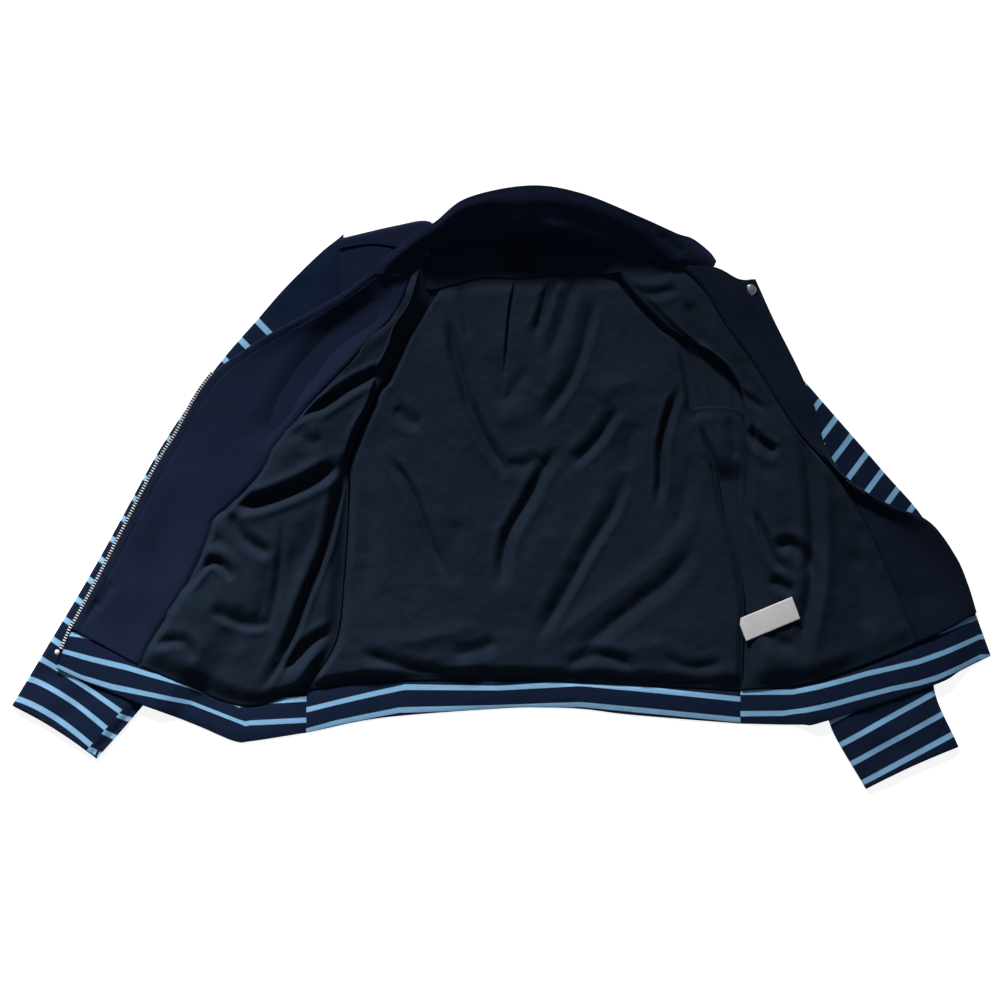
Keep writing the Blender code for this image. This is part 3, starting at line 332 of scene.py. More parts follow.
SNAP_CENTRE = (271.4, 213.6)
SNAP_PROFILE = [(0, 0), (5.0, 0), (6.0, 0.25), (6.2, 0.7), (6.1, 1.3), (5.6, 1.75), (5.2, 1.8),
                (4.9, 1.65), (4.4, 1.75), (3.0, 2.1), (1.5, 2.28), (0, 2.3)]
PIN_CENTRE = (-481.5, -179.5)
PIN_PROFILE = [(0, 0), (2.1, 0), (2.6, 0.4), (2.75, 1.4), (2.6, 2.6), (1.9, 3.3), (1.0, 3.55),
               (0, 3.6)]
LEFT_TAPE_TAIL = [(-477.6, -182), (-469.6, -163)]
SLIDER_START = (511, -132)
SLIDER_DIRECTION = (-0.28, 0.96)
# Distance along the slider and its pull, half width and height there
SLIDER_SECTIONS = [(0.0, 3.2, 2.2), (0.7, 4.0, 2.8), (2.5, 4.2, 3.0), (8.0, 3.9, 3.0),
                   (9.3, 3.0, 2.6),
                   (10.5, 1.5, 1.4), (13.5, 1.5, 1.4), (14.2, 2.4, 1.4), (16, 2.8, 1.4),
                   (30.0, 3.2, 1.4), (32.0, 2.8, 1.3), (33.0, 2.0, 1.2)]
# Where tooth ends peep out from under the right front's edge
GLINTS = [(332, 113), (350, 46), (361, 24)]
# Labels: corner, side along and side across
CARE_LABEL = ((267, -168), (58, 25), (-9, 24))
NECK_LABEL = ((5, 239), (28, 0), (0, 21))
SIZE_TAB = ((11.2, 226.4), (13.4, 0), (0, 12))

# ---------------------------------------------------------------- plane geometry


def smooth(t):
    t = np.clip(t, 0.0, 1.0)
    return t * t * (3.0 - 2.0 * t)


def ramp(t, start, length):
    """0 up to the start, and 1 from the given length beyond it."""
    return smooth((t - start) / length)


def within(t, start, end):
    """1 in the middle and 0 at both ends, rising over 1 / start and falling over 1 / end."""
    return smooth(t * start) * smooth((1 - t) * end)


def bell(t, width):
    """1 at 0, falling away on both sides to about a third at the given width."""
    return np.exp(-(t / width) ** 2)


def row_shares(count):
    """From 0 to 1 down a column, for the rows of a grid."""
    return np.linspace(0.0, 1.0, count)[:, None]


def column_shares(count):
    """From 0 to 1 along a row, for the columns of a grid."""
    return np.linspace(0.0, 1.0, count)[None, :]


def unit(ways):
    return ways / np.linalg.norm(ways, axis=-1, keepdims=True)


def lengths_along(points):
    """Distance along a line of points at each of them."""
    return np.concatenate([[0.0], np.cumsum(np.linalg.norm(np.diff(points, axis=0), axis=1))])


def even(points, count):
    """Resample a line of points at even steps along it."""
    points = np.asarray(points, dtype=float)
    along = lengths_along(points)
    at = np.linspace(0.0, along[-1], count)
    return np.stack([np.interp(at, along, points[:, k]) for k in range(points.shape[1])], axis=1)


def curve(points, count):
    """Even points on the smooth curve through the given ones (Catmull-Rom)."""
    p = np.array(points, dtype=float)
    p = np.vstack([2 * p[0] - p[1], p, 2 * p[-1] - p[-2]])
    t = np.linspace(0.0, 1.0, 24, endpoint=False)[:, None]
    spans = []
    for a, b, c, d in zip(p, p[1:], p[2:], p[3:]):
        spans.append(0.5 * (2 * b + (c - a) * t + (2 * a - 5 * b + 4 * c - d) * t**2
                            + (3 * b - a - 3 * c + d) * t**3))
    spans.append(p[-2][None, :])
    return even(np.vstack(spans), count)


def patch(left, right, bottom, top):
    """Coons patch: rows run from bottom to top, columns from left to right."""
    v = np.linspace(0.0, 1.0, len(left))[:, None, None]
    u = np.linspace(0.0, 1.0, len(bottom))[None, :, None]
    across = (1 - u) * left[:, None] + u * right[:, None]
    upward = (1 - v) * bottom[None] + v * top[None]
    corners = ((1 - u) * (1 - v) * bottom[0] + u * (1 - v) * bottom[-1]
               + (1 - u) * v * top[0] + u * v * top[-1])
    return across + upward - corners


def fitted_patch(left, right, bottom, top):
    """Patch whose hem and top rows are stretched to end on its two side lines."""
    def fit(line, start, end):
        t = np.linspace(0, 1, len(line))[:, None]
        return line + (1 - t) * (start - line[0]) + t * (end - line[-1])

    return patch(left, right, fit(bottom, left[0], right[0]), fit(top, left[-1], right[-1]))


def to_segments(points, line):
    """Distance, signed side (+ is left) and place along, from points to a line of points."""
    x, y = points[..., 0], points[..., 1]
    nearest = np.full(x.shape, 1e9)
    side = np.ones(x.shape)
    place = np.zeros(x.shape)
    along = lengths_along(line)
    for k, ((ax, ay), (bx, by)) in enumerate(zip(line, line[1:])):
        dx, dy = bx - ax, by - ay
        t = np.clip(((x - ax) * dx + (y - ay) * dy) / (dx * dx + dy * dy + 1e-9), 0, 1)
        distance = np.hypot(x - ax - t * dx, y - ay - t * dy)
        closer = distance < nearest
        nearest = np.where(closer, distance, nearest)
        side = np.where(closer, np.sign(dx * (y - ay) - dy * (x - ax)), side)
        place = np.where(closer, along[k] + t * (along[k + 1] - along[k]), place)
    return nearest, side, place / along[-1]


def distance_outside(grid, outline):
    """Distance from each point to a closed outline, 0 inside it."""
    loop = np.vstack([outline, outline[:1]])
    nearest = to_segments(grid, loop)[0]
    x, y = grid[..., 0], grid[..., 1]
    inside = np.zeros(x.shape, dtype=bool)
    for (ax, ay), (bx, by) in zip(loop, loop[1:]):
        crosses = (ay > y) != (by > y)
        inside ^= crosses & (x < (bx - ax) * (y - ay) / (by - ay + 1e-9) + ax)
    return np.where(inside, 0.0, nearest)


def relief(grid, folds, sharpen=0.0):
    """Sum of soft troughs and ridges. A trough has low lips and a rounded bottom."""
    total = np.zeros(grid.shape[:2])
    for height, left, right, run in folds:
        line = curve(run, 26)
        if height < 0 and sharpen > 0:
            height *= 1 + 0.5 * sharpen
            left, right = (width * (1 - 0.3 * sharpen) for width in (left, right))
        reach = 4.0 * max(left, right)
        low, high = line.min(axis=0) - reach, line.max(axis=0) + reach
        near = np.all((grid[..., :2] > low) & (grid[..., :2] < high), axis=2)
        if not near.any():
            continue
        distance, side, along = to_segments(grid[near][:, :2], line)
        s = distance / np.where(side > 0, left, right)
        fade = smooth(along / 0.22) * smooth((1 - along) / 0.22)
        body = np.exp(-s ** 1.7)
        lips = 0.0 if height > 0 else 0.22 * bell(s - 2.1, 0.8)
        total[near] += height * fade * (body - lips)
    return total


def lattice_noise(points, size, seed):
    """Smooth noise from -1 to 1 with features of about the given size."""
    table = np.random.default_rng(seed).uniform(-1, 1, (64, 64))
    p = points[..., :2] / size + 20.0
    cell = np.floor(p).astype(int)
    f = smooth(p - cell)
    i, j = cell[..., 0] % 64, cell[..., 1] % 64
    i2, j2 = (i + 1) % 64, (j + 1) % 64
    low = table[i, j] * (1 - f[..., 0]) + table[i2, j] * f[..., 0]
    high = table[i, j2] * (1 - f[..., 0]) + table[i2, j2] * f[..., 0]
    return low * (1 - f[..., 1]) + high * f[..., 1]


def crumple(points, seed, broad=0.5, fine=0.22):
    """Small unevenness that all laid cloth has."""
    turn = np.array([[0.8, -0.6], [0.6, 0.8]])
    turned = points[..., :2] @ turn
    return (broad * lattice_noise(points, 38.0, seed)
            + 0.5 * broad * lattice_noise(turned, 19.0, seed + 1)
            + fine * lattice_noise(points, 9.0, seed + 2)
            + 0.5 * fine * lattice_noise(turned, 4.5, seed + 3))


def with_height(grid, height):
    return np.concatenate([grid, np.broadcast_to(height, grid.shape[:2])[..., None]], axis=2)


def with_level(line, level):
    return np.column_stack([line, np.broadcast_to(level, len(line))])


# ---------------------------------------------------------------- meshes


def in_scene(name, data):
    obj = bpy.data.objects.new(name, data)
    bpy.context.scene.collection.objects.link(obj)
    return obj


def link(name, mesh, material):
    mesh.materials.append(material)
    mesh.shade_smooth()
    return in_scene(name, mesh)


def normals(grid):
    n = np.cross(np.gradient(grid, axis=1), np.gradient(grid, axis=0))
    return n / (np.linalg.norm(n, axis=2, keepdims=True) + 1e-9)


def cloth(name, grid, material, thickness=0.0, wrap=False):
    """Mesh of a grid of points in millimetres, up side up, with walls if it has a thickness."""
    rows, columns = grid.shape[:2]
    if not wrap and normals(grid)[..., 2].mean() < 0:
        grid = grid[:, ::-1]
    flat_uv = grid[..., :2].reshape(-1, 2) * MM
    index = np.arange(rows * columns).reshape(rows, columns)
    if wrap:
        index = np.concatenate([index, index[:, :1]], axis=1)
    quads = np.stack([index[:-1, :-1], index[:-1, 1:], index[1:, 1:], index[1:, :-1]], axis=-1)
    faces = quads.reshape(-1, 4)
    points = grid.reshape(-1, 3)
    if thickness:
        under = points - thickness * normals(grid).reshape(-1, 3)
        count = len(points)
        points = np.vstack([points, under])
        flat_uv = np.vstack([flat_uv, flat_uv])
        rim = np.concatenate([index[0, :-1], index[:-1, -1], index[-1, :0:-1], index[:0:-1, 0]])
        after = np.roll(rim, -1)
        sides = np.stack([after, rim, rim + count, after + count], axis=-1)
        faces = np.vstack([faces, faces[:, ::-1] + count, sides])
    points = np.column_stack([points[:, :2], np.maximum(points[:, 2], CLEAR_OF_GROUND)])
    mesh = bpy.data.meshes.new(name)
    mesh.from_pydata(points * MM, [], faces.tolist())
    layer = mesh.uv_layers.new(name="UVMap")
    corner = np.zeros(len(mesh.loops), dtype=np.int32)
    mesh.loops.foreach_get("vertex_index", corner)
    layer.data.foreach_set("uv", flat_uv[corner].astype(np.float32).ravel())
    return link(name, mesh, material)


def ring_faces(rings, around):
    """Faces of a closed piece made of rings of points, one above the other."""
    faces = [[around * r + k, around * r + (k + 1) % around,
              around * (r + 1) + (k + 1) % around, around * (r + 1) + k]
             for r in range(rings - 1) for k in range(around)]
    return faces + [list(range(around))[::-1], list(range(around * (rings - 1), around * rings))]


def joined(name, parts, material):
    """One mesh from many (points, faces) parts, in millimetres."""
    points, faces, base = [], [], 0
    for part_points, part_faces in parts:
        points.append(part_points)
        faces += [[k + base for k in face] for face in part_faces]
        base += len(part_points)
    mesh = bpy.data.meshes.new(name)
    mesh.from_pydata(np.vstack(points) * MM, [], faces)
    return link(name, mesh, material)


def around_edge(grid, radius, steps=6):
    """Carry the last column round a rounded free edge and back under."""
    edge = grid[:, -1]
    out = unit((edge - grid[:, -3]) * [1, 1, 0.3])
    down = np.array([0.0, 0.0, -1.0])
    columns = []
    for a in np.linspace(0, math.pi, steps + 1)[1:]:
        columns.append(edge + radius * (math.sin(a) * out + (1 - math.cos(a)) * down))
    return np.concatenate([grid, np.stack(columns, axis=1)], axis=1)


def turned(name, centre, profile, material, segments=56):
    """A round piece spun from its (radius, height) profile."""
    rings = []
    for a in np.linspace(0, 2 * math.pi, segments, endpoint=False):
        rings.append([(r * math.cos(a), r * math.sin(a), z) for r, z in profile])
    grid = np.array(rings).transpose(1, 0, 2) + np.array(centre)
    return cloth(name, grid, material, wrap=True)


def place_on(surface, row, from_edge):
    """Point of a surface grid a given distance in from its last column, at a fractional row."""
    low = int(math.floor(row))
    t = row - low
    line = surface[low] * (1 - t) + surface[min(low + 1, len(surface) - 1)] * t
    back = line[::-1]
    return np.array([np.interp(from_edge, lengths_along(back), back[:, k]) for k in range(3)])


def stitches(name, path, material, length=2.6, gap=1.0, radius=0.22):
    """A row of thread stitches along a path of points, each a small tapered tube."""
    count = int(lengths_along(path)[-1] / (length + gap))
    dense = even(path, count * 2 + 1)
    parts = []
    for k in range(count):
        start = dense[2 * k]
        run = unit(dense[2 * k + 1] - start)
        side = unit(np.array([-run[1], run[0], 0.0]))
        up = np.cross(run, side)
        points = []
        for share, size, lift in STITCH_RINGS:
            centre = start + run * share * length + up * lift
            for a in np.linspace(0, 2 * math.pi, 6, endpoint=False):
                points.append(centre + radius * size * (math.cos(a) * side + math.sin(a) * up))
        parts.append((np.array(points), ring_faces(4, 6)))
    return joined(name, parts, material)


# ---------------------------------------------------------------- materials


class Nodes:
    """Short way to lay out a material's nodes."""

    def __init__(self, name):
        self.material = bpy.data.materials.new(name)
        self.material.use_nodes = True
        self.tree = self.material.node_tree
        self.shader = self.tree.nodes["Principled BSDF"]

    def add(self, kind, values=None, **settings):
        node = self.tree.nodes.new(kind)
        for key, value in settings.items():
            setattr(node, key, value)
        for key, value in (values or {}).items():
            node.inputs[key].default_value = value
        return node

    def join(self, out, into):
        self.tree.links.new(out, into)

    def fill(self, sockets, values):
        """Give each socket its number or colour, or join what comes out of another node."""
        for socket, value in zip(sockets, values):
            if isinstance(value, (int, float)):
                socket.default_value = value
            elif isinstance(value, tuple):
                socket.default_value = (*value, 1.0)
            else:
                self.join(value, socket)

    def math(self, operation, *values):
        node = self.add("ShaderNodeMath", operation=operation)
        self.fill(node.inputs, values)
        return node.outputs[0]

    def mix(self, share, a, b):
        node = self.add("ShaderNodeMix", data_type="RGBA")
        self.fill((node.inputs[0], node.inputs[6], node.inputs[7]), (share, a, b))
        return node.outputs[2]

    def noise(self, scale, detail, **more):
        """Noise over the mesh's own coordinates."""
        node = self.add("ShaderNodeTexNoise", {"Scale": scale, "Detail": detail, **more})
        self.join(self.add("ShaderNodeTexCoord").outputs["Object"], node.inputs["Vector"])
        return node.outputs[0]

    def mapped(self, value, low, high, to_low=0.0, to_high=1.0):
        node = self.add("ShaderNodeMapRange", {"From Min": low, "From Max": high,
                                               "To Min": to_low, "To Max": to_high})
        self.join(value, node.inputs[0])
        return node.outputs[0]

    def bump(self, height, strength, distance):
        node = self.add("ShaderNodeBump", {"Strength": strength, "Distance": distance})
        self.join(height, node.inputs["Height"])
        self.join(node.outputs[0], self.shader.inputs["Normal"])

    def finish(self, colour, tint=None, **values):
        """Join the colour, set the named inputs of the shader, and give the material."""
        self.join(colour, self.shader.inputs["Base Color"])
        if tint:
            self.shader.inputs["Sheen Tint"].default_value = (*tint, 1.0)
        for key, value in values.items():
            self.shader.inputs[SHADER_INPUTS[key]].default_value = value
        return self.material


SHADER_INPUTS = {"roughness": "Roughness", "specular": "Specular IOR Level",
                 "sheen": "Sheen Weight", "sheen_roughness": "Sheen Roughness",
                 "metallic": "Metallic"}


def scaled(factor, colour):
    return tuple(factor * c for c in colour)


def weave(nodes, u_pitch, v_pitch, strength):
    """Bump of crossing threads, from the cloth's own coordinates in metres."""
    split = nodes.add("ShaderNodeSeparateXYZ")
    nodes.join(nodes.add("ShaderNodeUVMap", uv_map="UVMap").outputs[0], split.inputs[0])
    u, v = (nodes.math("SINE", nodes.math("MULTIPLY", split.outputs[k], 2 * math.pi / pitch))
            for k, pitch in enumerate((u_pitch, v_pitch)))
    rough = nodes.math("MULTIPLY", nodes.noise(420.0, 3.0), 1.2)
    nodes.bump(nodes.math("ADD", nodes.math("MULTIPLY", u, v), rough), strength, 0.0004)


def mottle(nodes, scale):
    """Change of shade over the cloth, as a share from 0 to 1."""
    return nodes.mapped(nodes.noise(scale, 4.0, Roughness=0.6), 0.35, 0.65)


def plain_cloth(name, dark, light, pitch, strength, roughness, specular, sheen, tint):
    nodes = Nodes(name)
    weave(nodes, pitch, pitch * 1.3, strength)
    halves = (nodes.math("MULTIPLY", mottle(nodes, scale), 0.5) for scale in (900.0, 14.0))
    return nodes.finish(nodes.mix(nodes.math("ADD", *halves), dark, light), tint,
                        roughness=roughness, specular=specular, sheen=sheen, sheen_roughness=0.45)


def striped_cloth(name, dark, blue, first=0.0):
    """Knit striped by its mesh's stripe counts, stepped where its seam attribute is above 0."""
    nodes = Nodes(name)
    weave(nodes, 0.0011, 0.0009, 0.5)
    count, beyond = (nodes.add("ShaderNodeAttribute", attribute_name=word).outputs["Fac"]
                     for word in ("stripe", "seam"))
    shift = nodes.math("MULTIPLY_ADD", beyond, STRIPE_TURN, STRIPE_STEP)
    stepped = nodes.math("MULTIPLY", nodes.math("GREATER_THAN", beyond, 0.0), shift)
    uneven = nodes.math("SUBTRACT", nodes.noise(130.0, 2.0), 0.5)
    wobble = nodes.math("MULTIPLY", uneven, STRIPE_BLUR)
    shaky = nodes.math("ADD", nodes.math("ADD", count, stepped), wobble)
    off = nodes.math("ABSOLUTE", nodes.math("SUBTRACT", shaky, nodes.math("ROUND", shaky)))
    half = 0.5 * STRIPE_WIDTH / STRIPE_PITCH
    inside = nodes.mapped(off, half + STRIPE_BLUR, half - STRIPE_BLUR)
    stripe = nodes.math("MULTIPLY", inside, nodes.math("GREATER_THAN", shaky, first - 0.5))
    fleck = mottle(nodes, 1100.0)
    shades = (nodes.mix(fleck, scaled(low, colour), scaled(high, colour))
              for colour, low, high in ((dark, 0.75, 1.3), (blue, 0.9, 1.06)))
    return nodes.finish(nodes.mix(stripe, *shades), roughness=0.95, specular=0.05, sheen=0.02,
                        sheen_roughness=0.5)


def metal(name, colour, roughness, share=1.0):
    nodes = Nodes(name)
    grain = nodes.noise(2600.0, 2.0)
    nodes.bump(grain, 0.15, 0.0002)
    return nodes.finish(nodes.mix(grain, scaled(0.8, colour), colour), roughness=roughness,
                        specular=0.5, sheen=0.0, sheen_roughness=0.5, metallic=share)


# Cloths: dark and light shade, thread pitch, bump, roughness, specular, sheen and its tint
NAVY = plain_cloth("navy_ponte", (0.0085, 0.0135, 0.034), (0.0135, 0.0205, 0.049),
                   0.0012, 0.4, 0.95, 0.04, 0.02, (0.55, 0.6, 1.0))
# The same ponte painted darker: painted shade for the right front's facing, which lies in less
# light
NAVY_PAINTED_SHADE = plain_cloth("navy_ponte_painted_shade", (0.0062, 0.0108, 0.0235), (0.0098, 0.0162, 0.0340),
                       0.0012, 0.4, 0.95, 0.04, 0.02, (0.55, 0.6, 1.0))
SLATE = plain_cloth("slate_lining", (0.0077, 0.0140, 0.0262), (0.0111, 0.0195, 0.0360),
                    0.0006, 0.25, 0.7, 0.05, 0.01, (0.6, 0.75, 1.0))
TAPE = plain_cloth("zip_tape", (0.003, 0.004, 0.010), (0.005, 0.007, 0.016),
                   0.0008, 0.5, 0.9, 0.05, 0.01, (0.7, 0.8, 1.0))
LABEL = plain_cloth("woven_label", (0.0075, 0.008, 0.014), (0.012, 0.0125, 0.022),
                    0.0005, 0.4, 0.8, 0.1, 0.02, (0.8, 0.8, 1.0))
TAB = plain_cloth("size_tab_satin", (0.014, 0.014, 0.018), (0.022, 0.022, 0.028),
                  0.0005, 0.4, 0.5, 0.4, 0.05, (0.8, 0.8, 1.0))
SATIN = plain_cloth("white_satin", (0.66, 0.65, 0.67), (0.74, 0.73, 0.75),
                    0.0005, 0.3, 0.4, 0.4, 0.1, (1.0, 1.0, 1.0))
THREAD = plain_cloth("navy_thread", (0.008, 0.012, 0.031), (0.013, 0.019, 0.046),
                     0.0004, 0.3, 0.8, 0.1, 0.05, (0.7, 0.8, 1.0))
SLEEVE_KNIT, BAND_KNIT = (striped_cloth(f"striped_knit_{part}", (0.0068, 0.0145, 0.0405),
                                        (0.25, 0.50, 0.78)) for part in ("sleeve", "band"))
STEEL = metal("snap_metal", (0.50, 0.51, 0.51), 0.42)
TEETH = metal("zip_teeth_metal", (0.95, 0.95, 0.96), 0.5, 0.35)


def set_stripe(obj, values, seam=None):
    """Stripe count at each vertex, and how far it lies beyond the seam where stripes step."""
    seam = np.full(values.shape, -1.0) if seam is None else seam
    for name, numbers in (("stripe", values), ("seam", seam)):
        layer = obj.data.attributes.new(name, "FLOAT", "POINT")
        layer.data.foreach_set("value", np.asarray(numbers, dtype=np.float32).ravel())


def place(obj, nodes=(), cut=None, held="laid"):
    """Ride on the one body and stand for the solids, which are hidden. The cut is not used."""
    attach(obj, "root")
    if nodes:
        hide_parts(*nodes)
    return obj


def lay(node, grid, material, cut=None, held="laid", kind="cloth", **more):
    """A piece of cloth that stands for the solid of the given name."""
    obj = cloth(f"{node}_{kind}", grid, material, **more)
    return place(obj, [node], grid if cut is None else cut, held)


# ---------------------------------------------------------------- heights


def sleeve_outline(outer, inner):
    return np.vstack([curve(outer, 40), curve(inner, 40)[::-1]])


LEFT_OUTLINE = sleeve_outline(LEFT_SLEEVE_OUTER, LEFT_SLEEVE_INNER)
RIGHT_OUTLINE = sleeve_outline(RIGHT_SLEEVE_OUTER, RIGHT_SLEEVE_INNER)


def support(grid, outline):
    """Level that a panel keeps over what the outline covers, easing down to the surface."""
    away = distance_outside(grid, outline) - SUPPORT_MARGIN
    return OVER_SLEEVE * smooth(1.0 - away / SUPPORT_FALL)


ROWS = 190
LINING_COLUMNS = 84
FACING_COLUMNS = 60
LINING_SHARE = 0.6
TOPSTITCH_IN = 7.5

# Both fronts. shoulder: where the panel is held up, with the bow of its shoulder seam. rim:
# height, width, and first and last share of the free edge's raised stretch. edge_lift and
# seam_lift: extra height at the free edge and on the upper facing. roll_floor and arch: level of
# the upper roll and its swelling. ease: share of the lining's fullness lost on the upper half.
# full_at: how quickly the lining fills out from the roll. overhang: how far it puffs out over
# the facing seam. seed: of its unevenness.
# cloth: the facing's cloth; the right one is painted darker, for the shade that falls on that
# side.
SIDES = {
    "left": {
        "roll": LEFT_ROLL, "seam": LEFT_FACING_SEAM, "edge": LEFT_EDGE, "hem": LEFT_HEM,
        "gorge": LEFT_GORGE, "armhole": LEFT_ARMHOLE, "outline": LEFT_OUTLINE,
        "shoulder": [(-84, 248), (-175, 262), (-175, 45), (-150, 109)], "bow": SHOULDER_BOW,
        "rim": (8.5, 21.0, 0.66, 2.0), "edge_lift": 0.0, "seam_lift": 0.0,
        "roll_floor": ROLL_FLOOR, "arch": 0.0, "ease": 0.0, "full_at": 9, "overhang": 1.0,
        "folds": LEFT_FRONT_FOLDS, "facing_folds": LEFT_FACING_FOLDS, "seed": 11, "cloth": NAVY,
    },
    "right": {
        "roll": RIGHT_ROLL, "seam": RIGHT_FACING_SEAM, "edge": RIGHT_EDGE, "hem": RIGHT_HEM,
        "gorge": RIGHT_GORGE, "armhole": RIGHT_ARMHOLE, "outline": RIGHT_OUTLINE,
        "shoulder": [(130, 229), (209, 250), (262, 115), (210, 165)], "bow": 0.0,
        "rim": (9.5, 18.0, 0.06, 0.58), "edge_lift": 1.8, "seam_lift": 4.0,
        "roll_floor": 7.4, "arch": 4.5, "ease": 0.55, "full_at": 7, "overhang": 0.3,
        "folds": RIGHT_FRONT_FOLDS, "facing_folds": RIGHT_FACING_FOLDS, "seed": 37,
        # painted shade: the right facing's cloth is a darker copy of the navy
        "cloth": NAVY_PAINTED_SHADE,
    },
}


def front_plan(side):
    """Plan of a front, from the roll through the facing seam to the free edge."""
    roll, seam, edge = (curve(side[key], ROWS) for key in ("roll", "seam", "edge"))
    hem, gorge = curve(side["hem"], 400), curve(side["gorge"], 400)
    hem_split = int(np.argmin(np.linalg.norm(hem - seam[0], axis=1)))
    gorge_split = int(np.argmin(np.linalg.norm(gorge - seam[-1], axis=1)))
    lining = fitted_patch(roll, seam, even(hem[:hem_split + 1], LINING_COLUMNS),
                          even(gorge[:gorge_split + 1], LINING_COLUMNS))
    facing = fitted_patch(seam, edge, even(hem[hem_split:], FACING_COLUMNS),
                          even(gorge[gorge_split:], FACING_COLUMNS))
    return np.concatenate([lining, facing[:, 1:]], axis=1)


def upper_share(v):
    """0 on the lower half of a front and 1 on the upper half, where the shell rolls high."""
    return ramp(v, 0.42, 0.2)


def front_floor(side, plan):
    """Underside of the front shell where it lies open."""
    level = np.maximum(support(plan, side["outline"]), support(plan, np.array(side["shoulder"])))
    u = np.concatenate([np.linspace(0, LINING_SHARE, LINING_COLUMNS),
                        np.linspace(LINING_SHARE, 1.0, FACING_COLUMNS)[1:]])[None]
    v = row_shares(ROWS)
    upper = upper_share(v)
    roll_level = (1 - upper) * (SHELL + GAP) + upper * side["roll_floor"]
    roll_level = roll_level + side["arch"] * bell(v - 0.67, 0.07)
    near_roll = smooth(1.0 - u / ROLL_SHARE)
    from_edge = np.linalg.norm(plan - plan[:, -1:], axis=2)
    height, width, first, last = side["rim"]
    rim = height * ramp(v, first, 0.2) * smooth((last - v) / 0.12) * bell(from_edge, width)
    return (level * (1 - near_roll) + roll_level * near_roll
            + side["edge_lift"] * smooth(u * 1.2 - 0.2) + rim)


# ---------------------------------------------------------------- pieces


def make_front(word):
    side = SIDES[word]
    plan = front_plan(side)
    floor = front_floor(side, plan)
    facing, surface, thread = make_facing(word, side, plan, floor)
    lining = make_front_lining(word, side, plan, floor)
    make_front_shell(word, side, plan, floor)
    zip_pieces = make_left_zip(plan) if word == "left" else make_right_zip(plan, floor)
    return lining


def with_hem_turn(grid):
    """A grid whose hem row is carried down behind the band's top edge."""
    turn = grid[:1] + np.array([0, -1.2, 0])
    turn[..., 2] = np.maximum(turn[..., 2] - 5.0, 0.9)
    return np.concatenate([turn, grid], axis=0)


def make_facing(word, side, plan, floor):
    first = LINING_COLUMNS - 1
    top = with_height(plan[:, first:], floor[:, first:] + 2 * SHELL + STACK_GAP)
    columns = top.shape[1]
    flat_edge = smooth(np.arange(columns)[::-1] / 7)[None, :]
    bumps = relief(top, side["facing_folds"]) + crumple(top, side["seed"], 0.55, 0.10)
    top[..., 2] += bumps * flat_edge
    # grooves along the lining seam and along the topstitching
    u = column_shares(columns)
    from_edge = np.linalg.norm(top[..., :2] - top[:, -1:, :2], axis=2)
    top[..., 2] -= 1.6 * bell(u * columns, 2.2) + 0.7 * bell(from_edge - TOPSTITCH_IN, 1.1)
    raised = side["seam_lift"] * ramp(row_shares(ROWS), 0.36, 0.14)
    top[..., 2] += raised * (0.6 + 0.4 * smooth((0.6 - u) / 0.4)) * smooth((1 - u) * 5)
    wall = top[:, :1] - [0, 0, 1.0]
    wall[..., 2] -= raised
    surface = with_hem_turn(np.concatenate([wall, top], axis=1))
    surface = around_edge(surface, SHELL + STACK_GAP / 2)
    obj = place(cloth(f"facing_{word}_cloth", surface, side["cloth"]), [f"facing_{word}"])
    path = [place_on(top, row, TOPSTITCH_IN) for row in np.linspace(3, ROWS * 0.97, 220)]
    thread = stitches(f"facing_{word}_topstitch", np.array(path) + [0, 0, 0.1], THREAD)
    return obj, surface, place(thread)


def valley_line(word):
    """Where a front's lining meets the back lining, from the hem to the neck."""
    if word == "left":
        return curve([*LEFT_SIDE_LINE[:-1], (-75, 214), (-80, 246)], ROWS) - np.array([0.6, 0])
    return curve(RIGHT_VALLEY, ROWS)


def make_front_lining(word, side, plan, floor):
    base = with_height(plan, floor + SHELL + STACK_GAP)[:, :LINING_COLUMNS]
    u, v = column_shares(LINING_COLUMNS), row_shares(ROWS)
    free = within(u, side["full_at"], 22) * within(v, 22, 14)
    fullness = FRONT_FULLNESS * (1 - side["ease"] * ramp(v, 0.52, 0.16))
    if word == "right":
        fullness = fullness * (1 - 0.75 * ramp(u, 0.5, 0.3) * smooth((0.4 - v) / 0.25))
    seed = side["seed"]
    # the folds, then gathers above the hem band and puckers beside the facing seam
    lift = fullness + relief(base, side["folds"], 0.8) + crumple(base, seed + 5, 0.7, 0.3)
    lift += lattice_noise(base * [1, 0.25, 1], 15.0, seed + 7) * 1.6 * smooth(1 - v * 7)
    lift += lattice_noise(base, 13.0, seed + 9) * 1.4 * smooth(1 - (1 - u) * 7)
    base[..., 2] += np.maximum(lift * free, 0.0) + 0.9
    # loose cloth bulges unevenly out over the facing seam
    out = unit(base[:, -1:, :2] - base[:, -4:-3, :2])
    overhang = 3.4 * np.maximum(lattice_noise(base[:, -1:], 17.0, seed + 21), -0.1)
    overhang = overhang * smooth(np.minimum(v, 1 - v) * 12) * side["overhang"]
    base[..., :2] += out * (overhang * ramp(u, 0.88, 0.1))[..., None]
    # from under the back lining up to the roll
    valley = valley_line(word)
    inward = np.array([1.0 if word == "left" else -1.0, 0.0])
    run = [np.column_stack([valley + inward * reach, np.full(ROWS, level)])
           for reach, level in ((9, 1.4), (4, 1.5))]
    for t in np.linspace(0, 1, 12, endpoint=False):
        level = 1.8 + (base[:, 0, 2] - 1.8) * smooth(t ** 0.7)
        run.append(np.column_stack([valley * (1 - t) + base[:, 0, :2] * t, level]))
    grid = np.concatenate([np.stack(run, axis=1), base], axis=1)
    lay(f"lining_front_{word}", with_hem_turn(grid), SLATE, cut=grid)
    return grid


